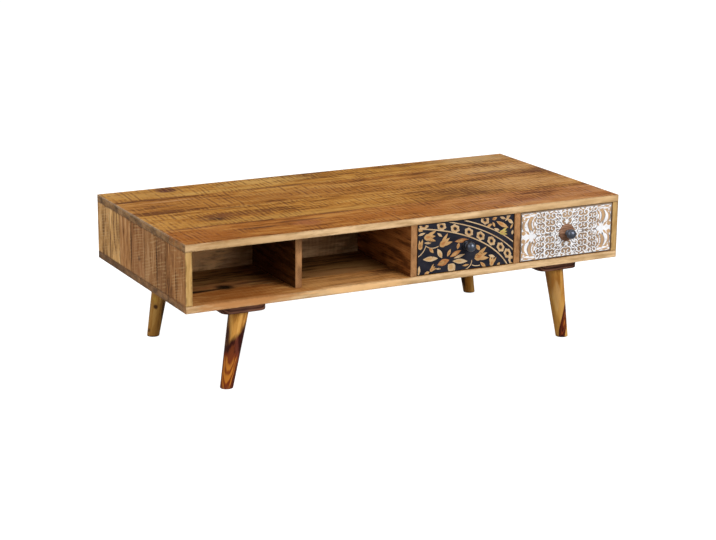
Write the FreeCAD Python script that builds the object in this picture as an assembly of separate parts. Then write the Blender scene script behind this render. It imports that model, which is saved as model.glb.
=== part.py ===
"""A low two-sided coffee table of solid mango boards on four splayed, tapered legs.

Each long side has two open bays on its left and two inset drawers on its right, so the table
looks the same from either side after a half turn about its vertical centre line.

Frame: millimetres, +Z up, X along the length, the front faces -Y.
Origin: on the floor, below the middle of the table.
"""

import FreeCAD
import Part

import math
import os

Vector = FreeCAD.Vector

# Overall sizes
table_length = 1150.0
table_depth = 550.0
table_height = 360.0
case_height = 158.0

# Boards of the case
top_thickness = 17.0
bottom_thickness = 17.0
end_thickness = 17.0
divider_thickness = 17.0
partition_thickness = 17.0
divider_setback = 32.0
board_ease = 1.0
seam_ease = 0.3
top_board_shares = (0.253, 0.273, 0.278, 0.196)
bottom_board_shares = (0.182, 0.318, 0.318, 0.182)
end_board_shares = (0.205, 0.1, 0.136, 0.155, 0.136, 0.12, 0.148)

# Dowels that hold the upright boards to the top and the bottom
dowel_radius = 4.0
dowel_length = 30.0
dowel_depth_in_face = 10.5
dowel_clearance = 0.1
divider_dowel_shares = (0.25, 0.75)

# Drawers
drawer_reveal = 2.0
drawer_front_thickness = 17.0
drawer_front_ease = 1.0
drawer_side_thickness = 12.0
drawer_back_thickness = 12.0
drawer_top_gap = 3.0
drawer_rear_gap = 0.5
drawer_held_length = 74.0
drawer_bottom_thickness = 5.0
drawer_bottom_lift = 8.0
groove_depth = 5.0
groove_clearance = 0.1
stop_length = 40.0
stop_depth = 14.0
stop_drop = 10.0

# Knobs, each a turned rosette, a ball on a neck and a bolt from inside the drawer
wood_rosette_radius = 21.5
iron_rosette_radius = 12.0
rosette_thickness = 5.0
rosette_rim = 2.0
rosette_flat_radius = 9.0
knob_ball_radius = 12.0
knob_neck_radius = 4.5
knob_neck_length = 0.5
knob_collar_radius = 7.0
knob_collar_height = 2.0
knob_collar_taper = 2.5
bolt_radius = 2.0
bolt_thread_length = 9.0
bolt_head_radius = 4.2
bolt_head_height = 2.6
bolt_hole_clearance = 0.25
thread_clearance = 0.05

# Legs and the plates that carry them
foot_end_inset = 118.0
foot_side_inset = 50.5
leg_splay_deg = 10.0
leg_foot_radius = 15.0
leg_top_radius = 23.0
leg_foot_ease = 1.5
plate_length = 110.0
plate_width = 65.0
plate_thickness = 20.0
plate_corner_radius = 20.0
plate_ease = 2.0
hanger_radius = 4.0
hanger_depth_in_leg = 40.0
insert_radius = 6.0
insert_cover = 5.0
screw_radius = 2.0
screw_head_radius = 4.0
screw_head_height = 2.5
screw_length = 30.0
screw_end_inset = 12.0
screw_side_inset = 12.5
screw_clearance = 0.1

# How far a cutting body runs past what it cuts
overrun = 2.0

# What each bay of a long side holds, from its left end
bays = ("open", "open", "inner_drawer", "outer_drawer")
rosette_radii = {"inner_drawer": iron_rosette_radius, "outer_drawer": wood_rosette_radius}
divider_names = ("left", "centre", "right")
top_board_names = ("front", "mid_front", "mid_rear", "rear")
corner_signs = {"front_left": (-1, -1), "front_right": (1, -1), "rear_left": (-1, 1), "rear_right": (1, 1)}

# Levels and places worked out from the sizes above
bottom_underside = table_height - case_height
floor_level = bottom_underside + bottom_thickness
ceiling_level = table_height - top_thickness
inside_height = ceiling_level - floor_level
front_plane = -table_depth / 2
partition_front = -partition_thickness / 2
inside_length = table_length - 2 * end_thickness
bay_width = (inside_length - (len(bays) - 1) * divider_thickness) / len(bays)
bay_pitch = bay_width + divider_thickness
plate_underside = bottom_underside - plate_thickness
foot_x = table_length / 2 - foot_end_inset
foot_y = table_depth / 2 - foot_side_inset
splay = math.radians(leg_splay_deg)
plate_x = foot_x - bottom_underside * math.tan(splay)

UP = Vector(0, 0, 1)
OUT = Vector(0, -1, 0)
ALONG = Vector(1, 0, 0)
BACK = Vector(0, 1, 0)
CENTRE = Vector(0, 0, 0)
HALF_TURN_DEG = 180.0
FULL_TURN_DEG = 360.0


def half_turn(shape):
    """The same piece on the other long side of the table."""
    turned = shape.copy()
    turned.rotate(CENTRE, UP, HALF_TURN_DEG)
    return turned


def eased_board(corner, grain, across, through, near_ease=board_ease, far_ease=board_ease):
    """A board from one corner, with the edges along its grain eased by small chamfers."""
    u = Vector(across).normalize()
    v = Vector(through).normalize()
    far = corner + across
    outline = [
        corner + u * near_ease,
        far - u * far_ease,
        far + v * far_ease,
        far + through - v * far_ease,
        far + through - u * far_ease,
        corner + through + u * near_ease,
        corner + through - v * near_ease,
        corner + v * near_ease,
    ]
    face = Part.Face(Part.makePolygon(outline + outline[:1]))
    return face.extrude(grain)


def panel(shares, level, grain, through):
    """Boards side by side from the front to the rear, glued at seams that are eased less than the edges."""
    boards = []
    last = len(shares) - 1
    for index, (start, width) in enumerate(split_places(front_plane, table_depth, shares)):
        corner = Vector(-table_length / 2, start, level)
        near_ease = board_ease if index == 0 else seam_ease
        far_ease = board_ease if index == last else seam_ease
        boards.append(eased_board(corner, grain, BACK * width, through, near_ease, far_ease))
    return boards


def box(low, high):
    """A plain box between two corners."""
    size = high - low
    return Part.makeBox(size.x, size.y, size.z, low)


def split_places(start, length, shares):
    """The start and width of each board of a panel that is divided by shares of its length."""
    total = sum(shares)
    places = []
    for share in shares:
        width = length * share / total
        places.append((start, width))
        start += width
    return places


def bay_left(index):
    """The left inner face of a bay, counted from the left end of the table."""
    return -inside_length / 2 + index * bay_pitch


def top_panel():
    """Boards of the top, from the front to the rear."""
    return panel(top_board_shares, ceiling_level, ALONG * table_length, UP * top_thickness)


def bottom_panel():
    """Boards of the bottom, from the front to the rear."""
    return panel(bottom_board_shares, bottom_underside, ALONG * table_length, UP * bottom_thickness)


def end_panel():
    """Upright boards of the left end, from the front to the rear."""
    return panel(end_board_shares, floor_level, UP * inside_height, ALONG * end_thickness)


def partition():
    """The board along the middle of the case that backs the bays of both sides."""
    corner = Vector(-inside_length / 2, partition_front, floor_level)
    return eased_board(corner, ALONG * inside_length, UP * inside_height, BACK * partition_thickness)


def divider_front(index):
    """The front edge of the divider to the right of a front bay, set back between two open bays."""
    both_open = bays[index] == bays[index + 1] == "open"
    return front_plane + divider_setback if both_open else front_plane


def divider(index):
    """The upright board to the right of a front bay."""
    start = divider_front(index)
    corner = Vector(bay_left(index) + bay_width, start, floor_level)
    across = BACK * (partition_front - start)
    return eased_board(corner, UP * inside_height, across, ALONG * divider_thickness)


def dowel_places():
    """Middle lines of the dowels: one for each end board and bay, and two for each divider."""
    places = []
    end_middle = (table_length - end_thickness) / 2
    for start, width in split_places(front_plane, table_depth, end_board_shares):
        places.append((-end_middle, start + width / 2))
        places.append((end_middle, -start - width / 2))
    for index in range(len(bays)):
        places.append((bay_left(index) + bay_width / 2, 0))
    for index in range(len(bays) - 1):
        x = bay_left(index) + bay_width + divider_thickness / 2
        start = divider_front(index)
        for share in divider_dowel_shares:
            y = start + (partition_front - start) * share
            places.append((x, y))
            places.append((-x, -y))
    return places


def dowels(radius, length, depth_in_face):
    """Dowels, or the holes for them, at the top and at the foot of every upright board."""
    rods = []
    for x, y in dowel_places():
        foot = Vector(x, y, floor_level - depth_in_face)
        head = Vector(x, y, ceiling_level + depth_in_face - length)
        rods.append(Part.makeCylinder(radius, length, foot, UP))
        rods.append(Part.makeCylinder(radius, length, head, UP))
    return rods


def cut_where_met(board, tools):
    """The board less those tools whose boxes meet it."""
    met = [tool for tool in tools if board.BoundBox.intersect(tool.BoundBox)]
    return board.cut(met) if met else board


def leg_axis(side_x, side_y):
    """The middle of a foot on the floor, and the direction of the leg's middle line upwards."""
    foot = Vector(side_x * foot_x, side_y * foot_y, 0)
    direction = Vector(-side_x * math.sin(splay), 0, math.cos(splay))
    return foot, direction


def leg_axis_length(level):
    """The length of a leg's middle line from the floor to a level."""
    return level / math.cos(splay)


def insert_start():
    """Where a threaded insert starts on the leg's middle line, with its rim inside the plate."""
    return leg_axis_length(plate_underside) + insert_radius * math.tan(splay)


def insert_length():
    """The insert fills the plate up to the cover of wood above it."""
    return plate_thickness - insert_cover


def rod_on_leg_axis(side_x, side_y, radius, start, length):
    """A round rod along a leg's middle line."""
    foot, direction = leg_axis(side_x, side_y)
    return Part.makeCylinder(radius, length, foot + direction * start, direction)


def leg(side_x, side_y):
    """A tapered round leg, cut level at the floor and under its plate, with the hanger bolt's hole."""
    foot, direction = leg_axis(side_x, side_y)
    length = leg_axis_length(plate_underside)
    spare = leg_top_radius
    taper = (leg_top_radius - leg_foot_radius) / length
    cone = Part.makeCone(
        leg_foot_radius - taper * spare,
        leg_top_radius + taper * spare,
        length + 2 * spare,
        foot - direction * spare,
        direction,
    )
    reach = 2 * (leg_top_radius + length * math.sin(splay))
    low = Vector(foot.x - reach, foot.y - reach, 0)
    high = Vector(foot.x + reach, foot.y + reach, plate_underside)
    turned = cone.common(box(low, high)).Solids[0]
    foot_edges = [edge for edge in turned.Edges if edge.BoundBox.ZMax < leg_foot_ease]
    turned = turned.makeFillet(leg_foot_ease, foot_edges)
    hole = rod_on_leg_axis(
        side_x,
        side_y,
        hanger_radius + thread_clearance,
        length - hanger_depth_in_leg - thread_clearance,
        hanger_depth_in_leg + spare,
    )
    return turned.cut(hole)


def rounded_outline(length, width, radius, level):
    """A level rounded rectangle about the vertical axis."""
    half_x = length / 2
    half_y = width / 2
    edges = []
    corners = ((1, 1, 0), (-1, 1, 1), (-1, -1, 2), (1, -1, 3))
    ends = []
    for sign_x, sign_y, quarter in corners:
        middle = Vector(sign_x * (half_x - radius), sign_y * (half_y - radius), level)
        points = []
        for step in range(3):
            angle = (quarter + step / 2) * math.pi / 2
            points.append(middle + Vector(math.cos(angle), math.sin(angle), 0) * radius)
        ends.append(points)
    for points, following in zip(ends, ends[1:] + ends[:1]):
        edges.append(Part.Arc(*points).toShape())
        edges.append(Part.LineSegment(points[-1], following[0]).toShape())
    return Part.Wire(edges)


def screw_places():
    """The four screws of a leg plate, from the middle of the plate."""
    x = plate_length / 2 - screw_end_inset
    y = plate_width / 2 - screw_side_inset
    return [(sign_x * x, sign_y * y) for sign_x in (-1, 1) for sign_y in (-1, 1)]


def screw(x, y, clearance):
    """A countersunk wood screw driven up through a plate, or the hole for one."""
    foot = Vector(x, y, plate_underside)
    radius = screw_radius + clearance
    shank = Part.makeCylinder(radius, screw_length + clearance, foot, UP)
    head = Part.makeCone(screw_head_radius + clearance, radius, screw_head_height, foot, UP)
    return shank.fuse(head).removeSplitter()


def plate_screws(clearance):
    """All the screws of the four plates, or their holes."""
    screws = []
    for side_x, side_y in corner_signs.values():
        for x, y in screw_places():
            screws.append(screw(side_x * plate_x + x, side_y * foot_y + y, clearance))
    return screws


def leg_plate(side_x, side_y, screw_holes):
    """The rounded block under the case that takes a leg, bored for its insert and screws."""
    outline = rounded_outline(plate_length, plate_width, plate_corner_radius, plate_underside)
    plate = Part.Face(outline).extrude(UP * plate_thickness)
    lower_edges = [edge for edge in plate.Edges if edge.BoundBox.ZMax < plate_underside + plate_ease]
    plate = plate.makeFillet(plate_ease, lower_edges)
    plate.translate(Vector(side_x * plate_x, side_y * foot_y, 0))
    start = insert_start() - insert_radius - overrun
    bore = rod_on_leg_axis(
        side_x,
        side_y,
        insert_radius + thread_clearance,
        start,
        insert_start() + insert_length() + thread_clearance - start,
    )
    return cut_where_met(plate.cut(bore), screw_holes)


def threaded_insert(side_x, side_y):
    """The metal sleeve in a plate that a hanger bolt screws into."""
    sleeve = rod_on_leg_axis(side_x, side_y, insert_radius, insert_start(), insert_length())
    bore = rod_on_leg_axis(
        side_x,
        side_y,
        hanger_radius + thread_clearance,
        insert_start() - overrun,
        insert_length() + 2 * overrun,
    )
    return sleeve.cut(bore)


def hanger_bolt(side_x, side_y):
    """The headless bolt that joins a leg to the insert in its plate."""
    start = leg_axis_length(plate_underside) - hanger_depth_in_leg
    end = insert_start() + insert_length() - thread_clearance
    return rod_on_leg_axis(side_x, side_y, hanger_radius, start, end - start)


def turned_piece(outline, middle):
    """A turned solid about a level axis: the outline is in radius and distance out of the front."""
    wire = Part.Wire(outline)
    solid = Part.Face(wire).revolve(CENTRE, OUT, FULL_TURN_DEG)
    solid.translate(middle)
    return solid


def out_point(radius, out):
    """A point of a turned outline."""
    return Vector(radius, -out, 0)


def chain(points):
    """Straight edges through the points in order."""
    return [Part.LineSegment(a, b).toShape() for a, b in zip(points, points[1:])]


def rosette(middle, radius):
    """The domed disc behind a knob, with the bolt's hole."""
    bore = bolt_radius + bolt_hole_clearance
    back = out_point(bore, 0)
    crown = out_point(rosette_flat_radius, rosette_thickness)
    rim = out_point(radius, rosette_rim)
    shoulder = out_point(
        (rosette_flat_radius + radius) / 2,
        rosette_rim + (rosette_thickness - rosette_rim) * math.sin(math.pi / 4),
    )
    edges = chain([crown, out_point(bore, rosette_thickness), back, out_point(radius, 0), rim])
    edges.append(Part.Arc(rim, shoulder, crown).toShape())
    return turned_piece(edges, middle)


def knob(middle):
    """A ball on a neck with a collar that sits on the rosette, bored from behind for the bolt."""
    bore = bolt_radius + thread_clearance
    seat = rosette_thickness
    bore_end = seat + bolt_thread_length + thread_clearance
    collar_end = seat + knob_collar_height
    neck_start = collar_end + knob_collar_taper
    neck_end = neck_start + knob_neck_length
    ball_middle = neck_end + math.sqrt(knob_ball_radius**2 - knob_neck_radius**2)
    neck = out_point(knob_neck_radius, neck_end)
    tip = out_point(0, ball_middle + knob_ball_radius)
    points = [
        tip,
        out_point(0, bore_end),
        out_point(bore, bore_end),
        out_point(bore, seat),
        out_point(knob_collar_radius, seat),
        out_point(knob_collar_radius, collar_end),
        out_point(knob_neck_radius, neck_start),
        neck,
    ]
    edges = chain(points)
    edges.append(Part.Arc(neck, out_point(knob_ball_radius, ball_middle), tip).toShape())
    return turned_piece(edges, middle)


def knob_bolt(middle):
    """The pan-head bolt from inside the drawer, through the front and the rosette into the knob."""
    inner_face = middle - OUT * drawer_front_thickness
    length = drawer_front_thickness + rosette_thickness + bolt_thread_length
    shank = Part.makeCylinder(bolt_radius, length, inner_face, OUT)
    head = Part.makeCylinder(bolt_head_radius, bolt_head_height, inner_face - OUT * bolt_head_height, OUT)
    return shank.fuse(head).removeSplitter()


def drawer(index):
    """The pieces of the front drawer in a bay, by their short names."""
    left = bay_left(index) + drawer_reveal
    right = bay_left(index) + bay_width - drawer_reveal
    front_back = front_plane + drawer_front_thickness
    rear = partition_front - drawer_rear_gap
    back_front = rear - drawer_back_thickness
    side_top = ceiling_level - drawer_top_gap
    panel_low = floor_level + drawer_bottom_lift
    panel_high = panel_low + drawer_bottom_thickness
    inner_left = left + drawer_side_thickness
    inner_right = right - drawer_side_thickness

    groove = box(
        Vector(inner_left - groove_depth, front_back - groove_depth, panel_low - groove_clearance),
        Vector(inner_right + groove_depth, rear + overrun, panel_high + groove_clearance),
    )
    front = box(
        Vector(left, front_plane, floor_level + drawer_reveal),
        Vector(right, front_back, ceiling_level - drawer_reveal),
    )
    rim = [edge for edge in front.Edges if edge.BoundBox.YMax < front_plane + drawer_front_ease]
    front = front.makeChamfer(drawer_front_ease, rim)
    middle = Vector((left + right) / 2, front_plane, (floor_level + ceiling_level) / 2)
    bolt_hole = Part.makeCylinder(
        bolt_radius + bolt_hole_clearance,
        drawer_front_thickness + 2 * overrun,
        middle + OUT * overrun,
        BACK,
    )
    left_side = box(Vector(left, front_back, floor_level), Vector(inner_left, rear, side_top))
    right_side = box(Vector(inner_right, front_back, floor_level), Vector(right, rear, side_top))
    back = box(
        Vector(inner_left, back_front, panel_high + groove_clearance),
        Vector(inner_right, rear, side_top),
    )
    tongue = groove_depth - groove_clearance
    bottom = box(
        Vector(inner_left - tongue, front_back - tongue, panel_low),
        Vector(inner_right + tongue, rear, panel_high),
    )
    return {
        "face": front.cut([groove, bolt_hole]),
        "left_side": left_side.cut(groove),
        "right_side": right_side.cut(groove),
        "back": back,
        "bottom": bottom,
        "rosette": rosette(middle, rosette_radii[bays[index]]),
        "knob": knob(middle),
        "bolt": knob_bolt(middle),
    }


def drawer_travel():
    """How far a drawer opens before its back meets the stop."""
    length = partition_front - drawer_rear_gap - front_plane - drawer_front_thickness
    return length - drawer_held_length


def drawer_stop(index):
    """The block under the top that the back of an opened front drawer meets."""
    middle = bay_left(index) + bay_width / 2
    rear = partition_front - drawer_rear_gap - drawer_back_thickness - drawer_travel()
    low = Vector(middle - stop_length / 2, rear - stop_depth, ceiling_level - stop_drop)
    high = Vector(middle + stop_length / 2, rear, ceiling_level)
    return box(low, high)


def all_nodes():
    """Every node of the table by name, each a list of solids."""
    nodes = {}
    dowel_holes = dowels(
        dowel_radius + dowel_clearance,
        dowel_length + 2 * dowel_clearance,
        dowel_depth_in_face + dowel_clearance,
    )
    screw_holes = plate_screws(screw_clearance)

    for name, board in zip(top_board_names, top_panel()):
        nodes[f"top_board_{name}"] = [cut_where_met(board, dowel_holes)]
    nodes["bottom_boards"] = [cut_where_met(board, dowel_holes + screw_holes) for board in bottom_panel()]
    left_boards = end_panel()
    nodes["left_end_boards"] = [cut_where_met(board, dowel_holes) for board in left_boards]
    nodes["right_end_boards"] = [cut_where_met(half_turn(board), dowel_holes) for board in left_boards]
    nodes["centre_partition"] = [cut_where_met(partition(), dowel_holes)]
    for index, (front_name, rear_name) in enumerate(zip(divider_names, reversed(divider_names))):
        board = divider(index)
        nodes[f"front_{front_name}_divider"] = [cut_where_met(board, dowel_holes)]
        nodes[f"rear_{rear_name}_divider"] = [cut_where_met(half_turn(board), dowel_holes)]
    nodes["case_dowels"] = dowels(dowel_radius, dowel_length, dowel_depth_in_face)

    for name, (side_x, side_y) in corner_signs.items():
        nodes[f"{name}_leg"] = [leg(side_x, side_y)]
        nodes[f"{name}_leg_plate"] = [leg_plate(side_x, side_y, screw_holes)]
    nodes["leg_plate_screws"] = plate_screws(0)
    nodes["leg_inserts"] = [threaded_insert(*signs) for signs in corner_signs.values()]
    nodes["leg_hanger_bolts"] = [hanger_bolt(*signs) for signs in corner_signs.values()]

    stops = []
    for index, holds in enumerate(bays):
        if holds == "open":
            continue
        for piece, shape in drawer(index).items():
            nodes[f"front_{holds}_{piece}"] = [shape]
            nodes[f"rear_{holds}_{piece}"] = [half_turn(shape)]
        stops += [drawer_stop(index), half_turn(drawer_stop(index))]
    nodes["drawer_stops"] = stops
    return nodes


def main():
    """Writes one STEP file for each node and prints the drawers' travel."""
    os.makedirs("parts", exist_ok=True)
    nodes = all_nodes()
    for name, shapes in nodes.items():
        solids = [solid for shape in shapes for solid in shape.Solids]
        whole = solids[0] if len(solids) == 1 else Part.makeCompound(solids)
        whole.exportStep(os.path.join("parts", f"{name}.step"))
    print(f"{len(nodes)} nodes, drawer travel {drawer_travel():.1f} mm")


main()
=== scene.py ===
"""Coffee table with drawers: planks, turned legs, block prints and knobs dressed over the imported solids."""
import logging
import math
from abc import ABC, abstractmethod
from collections.abc import Iterator, Mapping, Sequence
from dataclasses import dataclass, field, replace
from enum import Enum
from itertools import cycle, product
from typing import ClassVar

import bpy
import numpy as np
from mathutils import Matrix, Vector


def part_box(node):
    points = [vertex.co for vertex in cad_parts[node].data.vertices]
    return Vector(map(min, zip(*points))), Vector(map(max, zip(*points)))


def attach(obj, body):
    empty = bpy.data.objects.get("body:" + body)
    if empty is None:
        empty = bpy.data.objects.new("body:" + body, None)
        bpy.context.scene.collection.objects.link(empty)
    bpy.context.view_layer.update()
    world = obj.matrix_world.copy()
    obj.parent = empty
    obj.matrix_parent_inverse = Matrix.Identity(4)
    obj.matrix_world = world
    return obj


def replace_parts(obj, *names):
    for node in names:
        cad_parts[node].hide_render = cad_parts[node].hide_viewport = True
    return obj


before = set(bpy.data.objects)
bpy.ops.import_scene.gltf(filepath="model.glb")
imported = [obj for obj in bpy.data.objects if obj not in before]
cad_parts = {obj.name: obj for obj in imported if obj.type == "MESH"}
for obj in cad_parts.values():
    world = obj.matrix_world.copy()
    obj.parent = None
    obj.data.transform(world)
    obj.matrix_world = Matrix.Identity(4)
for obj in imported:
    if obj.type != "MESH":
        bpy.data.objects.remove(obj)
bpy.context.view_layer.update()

log = logging.getLogger("coffee_table")

Colour = tuple[float, float, float]
Triple = tuple[float, float, float]
Span = tuple[float, float]
Floats = tuple[float, ...]
Outline = np.ndarray
Material = bpy.types.Material
Piece = bpy.types.Object
Pieces = Iterator[Piece]
Socket = bpy.types.NodeSocket
Sockets = Mapping[str, Socket]
Value = Socket | float | Sequence[float]
TURN = 2.0 * math.pi
WHITE_LIGHT = (1.0, 1.0, 1.0)
TOP_LEVEL = 0.36
BAY_LEVEL = 0.219
SEED_STEP = 10


class Axis(Enum):
    """The three directions of the table's frame."""

    X = 0
    Y = 1
    Z = 2


class Side(Enum):
    """The two long sides of the table."""

    FRONT = "front"
    REAR = "rear"


class Place(Enum):
    """The two drawers of a side: dark print inside, white print at the end."""

    INNER = "inner"
    OUTER = "outer"


class Corner(Enum):
    """The four corners of the table, each with its leg."""

    FRONT_LEFT = "front_left"
    FRONT_RIGHT = "front_right"
    REAR_LEFT = "rear_left"
    REAR_RIGHT = "rear_right"


class Ink(Enum):
    """The printed colours of the drawer fronts."""

    CREAM = 0
    TAN = 1
    AMBER = 2
    STRAW = 3
    NIGHT = 4
    WHITE = 5
    SAND = 6
    SLATE = 7


class Kind(Enum):
    """What a node group's socket carries."""

    VALUE = "NodeSocketFloat"
    VECTOR = "NodeSocketVector"
    COLOUR = "NodeSocketColor"


@dataclass(frozen=True)
class Waves:
    """A noise: its waves per metre in each direction, its finer layers and how strong they are."""

    scale: Triple
    detail: float = 2.0
    rough: float = 0.5


class Wiring:
    """Adds and joins the nodes of one shader tree."""

    mix_inputs = (0, 6, 7)
    mix_output = 2

    def __init__(self, tree: bpy.types.NodeTree) -> None:
        """Keeps the tree that the nodes go into."""
        self.tree = tree

    def add(self, kind: str, **settings: object) -> bpy.types.Node:
        """Adds one node.

        Args:
            kind: The node's type.
            settings: Values of the node's own settings.

        Returns:
            The node.
        """
        node = self.tree.nodes.new(kind)
        for name, value in settings.items():
            setattr(node, name, value)
        return node

    def feed(self, socket: Socket, value: Value) -> None:
        """Joins a socket to another one, or sets its own value.

        Args:
            socket: The input to feed.
            value: An output, a number, a vector or a colour.
        """
        if isinstance(value, bpy.types.NodeSocket):
            self.tree.links.new(value, socket)
        elif isinstance(value, (int, float)):
            socket.default_value = value
        else:
            socket.default_value = (*value, 1.0)[:len(socket.default_value)]

    def fill(self, node: bpy.types.Node, values: Mapping[str, Value]) -> None:
        """Feeds a node's inputs by name."""
        for name, value in values.items():
            self.feed(node.inputs[name], value)

    def worked(self, kind: str, output: str | int, *values: Value, **settings: object) -> Socket:
        """Adds a node and feeds its inputs in their order.

        Args:
            kind: The node's type.
            output: Which of its outputs is asked for.
            values: What goes to its inputs.
            settings: Values of the node's own settings.

        Returns:
            The output.
        """
        node = self.add(kind, **settings)
        for socket, value in zip(node.inputs, values):
            self.feed(socket, value)
        return node.outputs[output]

    def number(self, operation: str, *values: Value, clamp: bool = False) -> Socket:
        """A number from a Math node, kept from 0 to 1 if it is clamped."""
        return self.worked("ShaderNodeMath", "Value", *values, operation=operation, use_clamp=clamp)

    def vector(self, operation: str, *values: Value) -> Socket:
        """A vector from a Vector Math node."""
        return self.worked("ShaderNodeVectorMath", "Vector", *values, operation=operation)

    def length(self, vector: Value) -> Socket:
        """How long a vector is."""
        return self.worked("ShaderNodeVectorMath", "Value", vector, operation="LENGTH")

    def apart(self, vector: Value, point: Value, ways: Sequence[float]) -> Socket:
        """How far a place is from a point, along some of the directions alone."""
        return self.length(self.vector("MULTIPLY", self.vector("SUBTRACT", vector, point), ways))

    def parts(self, vector: Value) -> tuple[Socket, Socket, Socket]:
        """The three numbers of a vector."""
        first = self.worked("ShaderNodeSeparateXYZ", 0, vector)
        return tuple(first.node.outputs)

    def joined(self, *numbers: Value) -> Socket:
        """A vector of three numbers."""
        return self.worked("ShaderNodeCombineXYZ", 0, *numbers)

    def in_order(self, vector: Value, order: Sequence[Axis]) -> Socket:
        """A vector with its numbers in another order: along the grain, across it and through the piece."""
        numbers = self.parts(vector)
        return self.joined(*(numbers[axis.value] for axis in order))

    def noise(self, vector: Value, waves: Waves) -> Socket:
        """Soft noise about a half.

        Args:
            vector: Where it is read.
            waves: Its size and its finer layers.

        Returns:
            The noise.
        """
        node = self.add("ShaderNodeTexNoise", noise_dimensions="3D")
        place = self.vector("MULTIPLY", vector, waves.scale)
        self.fill(node, {"Vector": place, "Scale": 1.0, "Detail": waves.detail, "Roughness": waves.rough})
        return node.outputs["Fac"]

    def ease(self, value: Value, low: Value, high: Value, start: float = 0.0, end: float = 1.0) -> Socket:
        """A smooth step of a value between low and high, from the start result to the end result."""
        return self.worked("ShaderNodeMapRange", "Result", value, low, high, start, end,
                           interpolation_type="SMOOTHSTEP", clamp=True)

    def mix(self, share: Value, first: Value, second: Value) -> Socket:
        """Mixes two colours.

        Args:
            share: How much of the second shows.
            first: The colour below.
            second: The colour above.

        Returns:
            The mixed colour.
        """
        node = self.add("ShaderNodeMix", data_type="RGBA", clamp_factor=True)
        for number, value in zip(self.mix_inputs, (share, first, second)):
            self.feed(node.inputs[number], value)
        return node.outputs[self.mix_output]

    def scaled(self, value: Value, amount: Value) -> Socket:
        """A number about a half, moved to about zero and scaled."""
        return self.number("MULTIPLY", self.number("SUBTRACT", value, 0.5), amount)

    def turns(self, way: Value, length: Value) -> Socket:
        """The angle that a wave of some length has reached after a way."""
        return self.number("MULTIPLY", self.number("DIVIDE", way, length), TURN)


class Effect(ABC):
    """A shader node group with named inputs and outputs, built once and placed in many materials."""

    name: ClassVar[str]
    inputs: ClassVar[Mapping[str, tuple[Kind, Value]]]
    outputs: ClassVar[Mapping[str, Kind]]

    @classmethod
    @abstractmethod
    def wire(cls, wiring: Wiring, given: Sockets) -> Sockets:
        """Wires the group.

        Args:
            wiring: The group's own tree.
            given: The group's inputs by name.

        Returns:
            What goes to each output.
        """

    @classmethod
    def tree(cls) -> bpy.types.NodeTree:
        """The group's tree, which is built at its first use.

        Returns:
            The tree.
        """
        if cls.name in bpy.data.node_groups:
            return bpy.data.node_groups[cls.name]
        tree = bpy.data.node_groups.new(cls.name, "ShaderNodeTree")
        for name, (kind, value) in cls.inputs.items():
            socket = tree.interface.new_socket(name=name, in_out="INPUT", socket_type=kind.value)
            socket.default_value = (*value, 1.0) if kind is Kind.COLOUR else value
        for name, kind in cls.outputs.items():
            tree.interface.new_socket(name=name, in_out="OUTPUT", socket_type=kind.value)
        wiring = Wiring(tree)
        results = cls.wire(wiring, wiring.add("NodeGroupInput").outputs)
        wiring.fill(wiring.add("NodeGroupOutput"), results)
        return tree

    @classmethod
    def place(cls, wiring: Wiring, **values: Value) -> Sockets:
        """Places the group in a material.

        Args:
            wiring: The material's tree.
            values: Its inputs by name, in small letters.

        Returns:
            The group's outputs by name.
        """
        node = wiring.add("ShaderNodeGroup", node_tree=cls.tree())
        wiring.fill(node, {name.title(): value for name, value in values.items()})
        return node.outputs


ORIGIN = (Kind.VECTOR, (0.0, 0.0, 0.0))
WHOLE = (Kind.VECTOR, (1.0, 1.0, 1.0))
ACROSS_GRAIN = (0.0, 1.0, 1.0)
LEVEL = (1.0, 1.0, 0.0)


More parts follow.
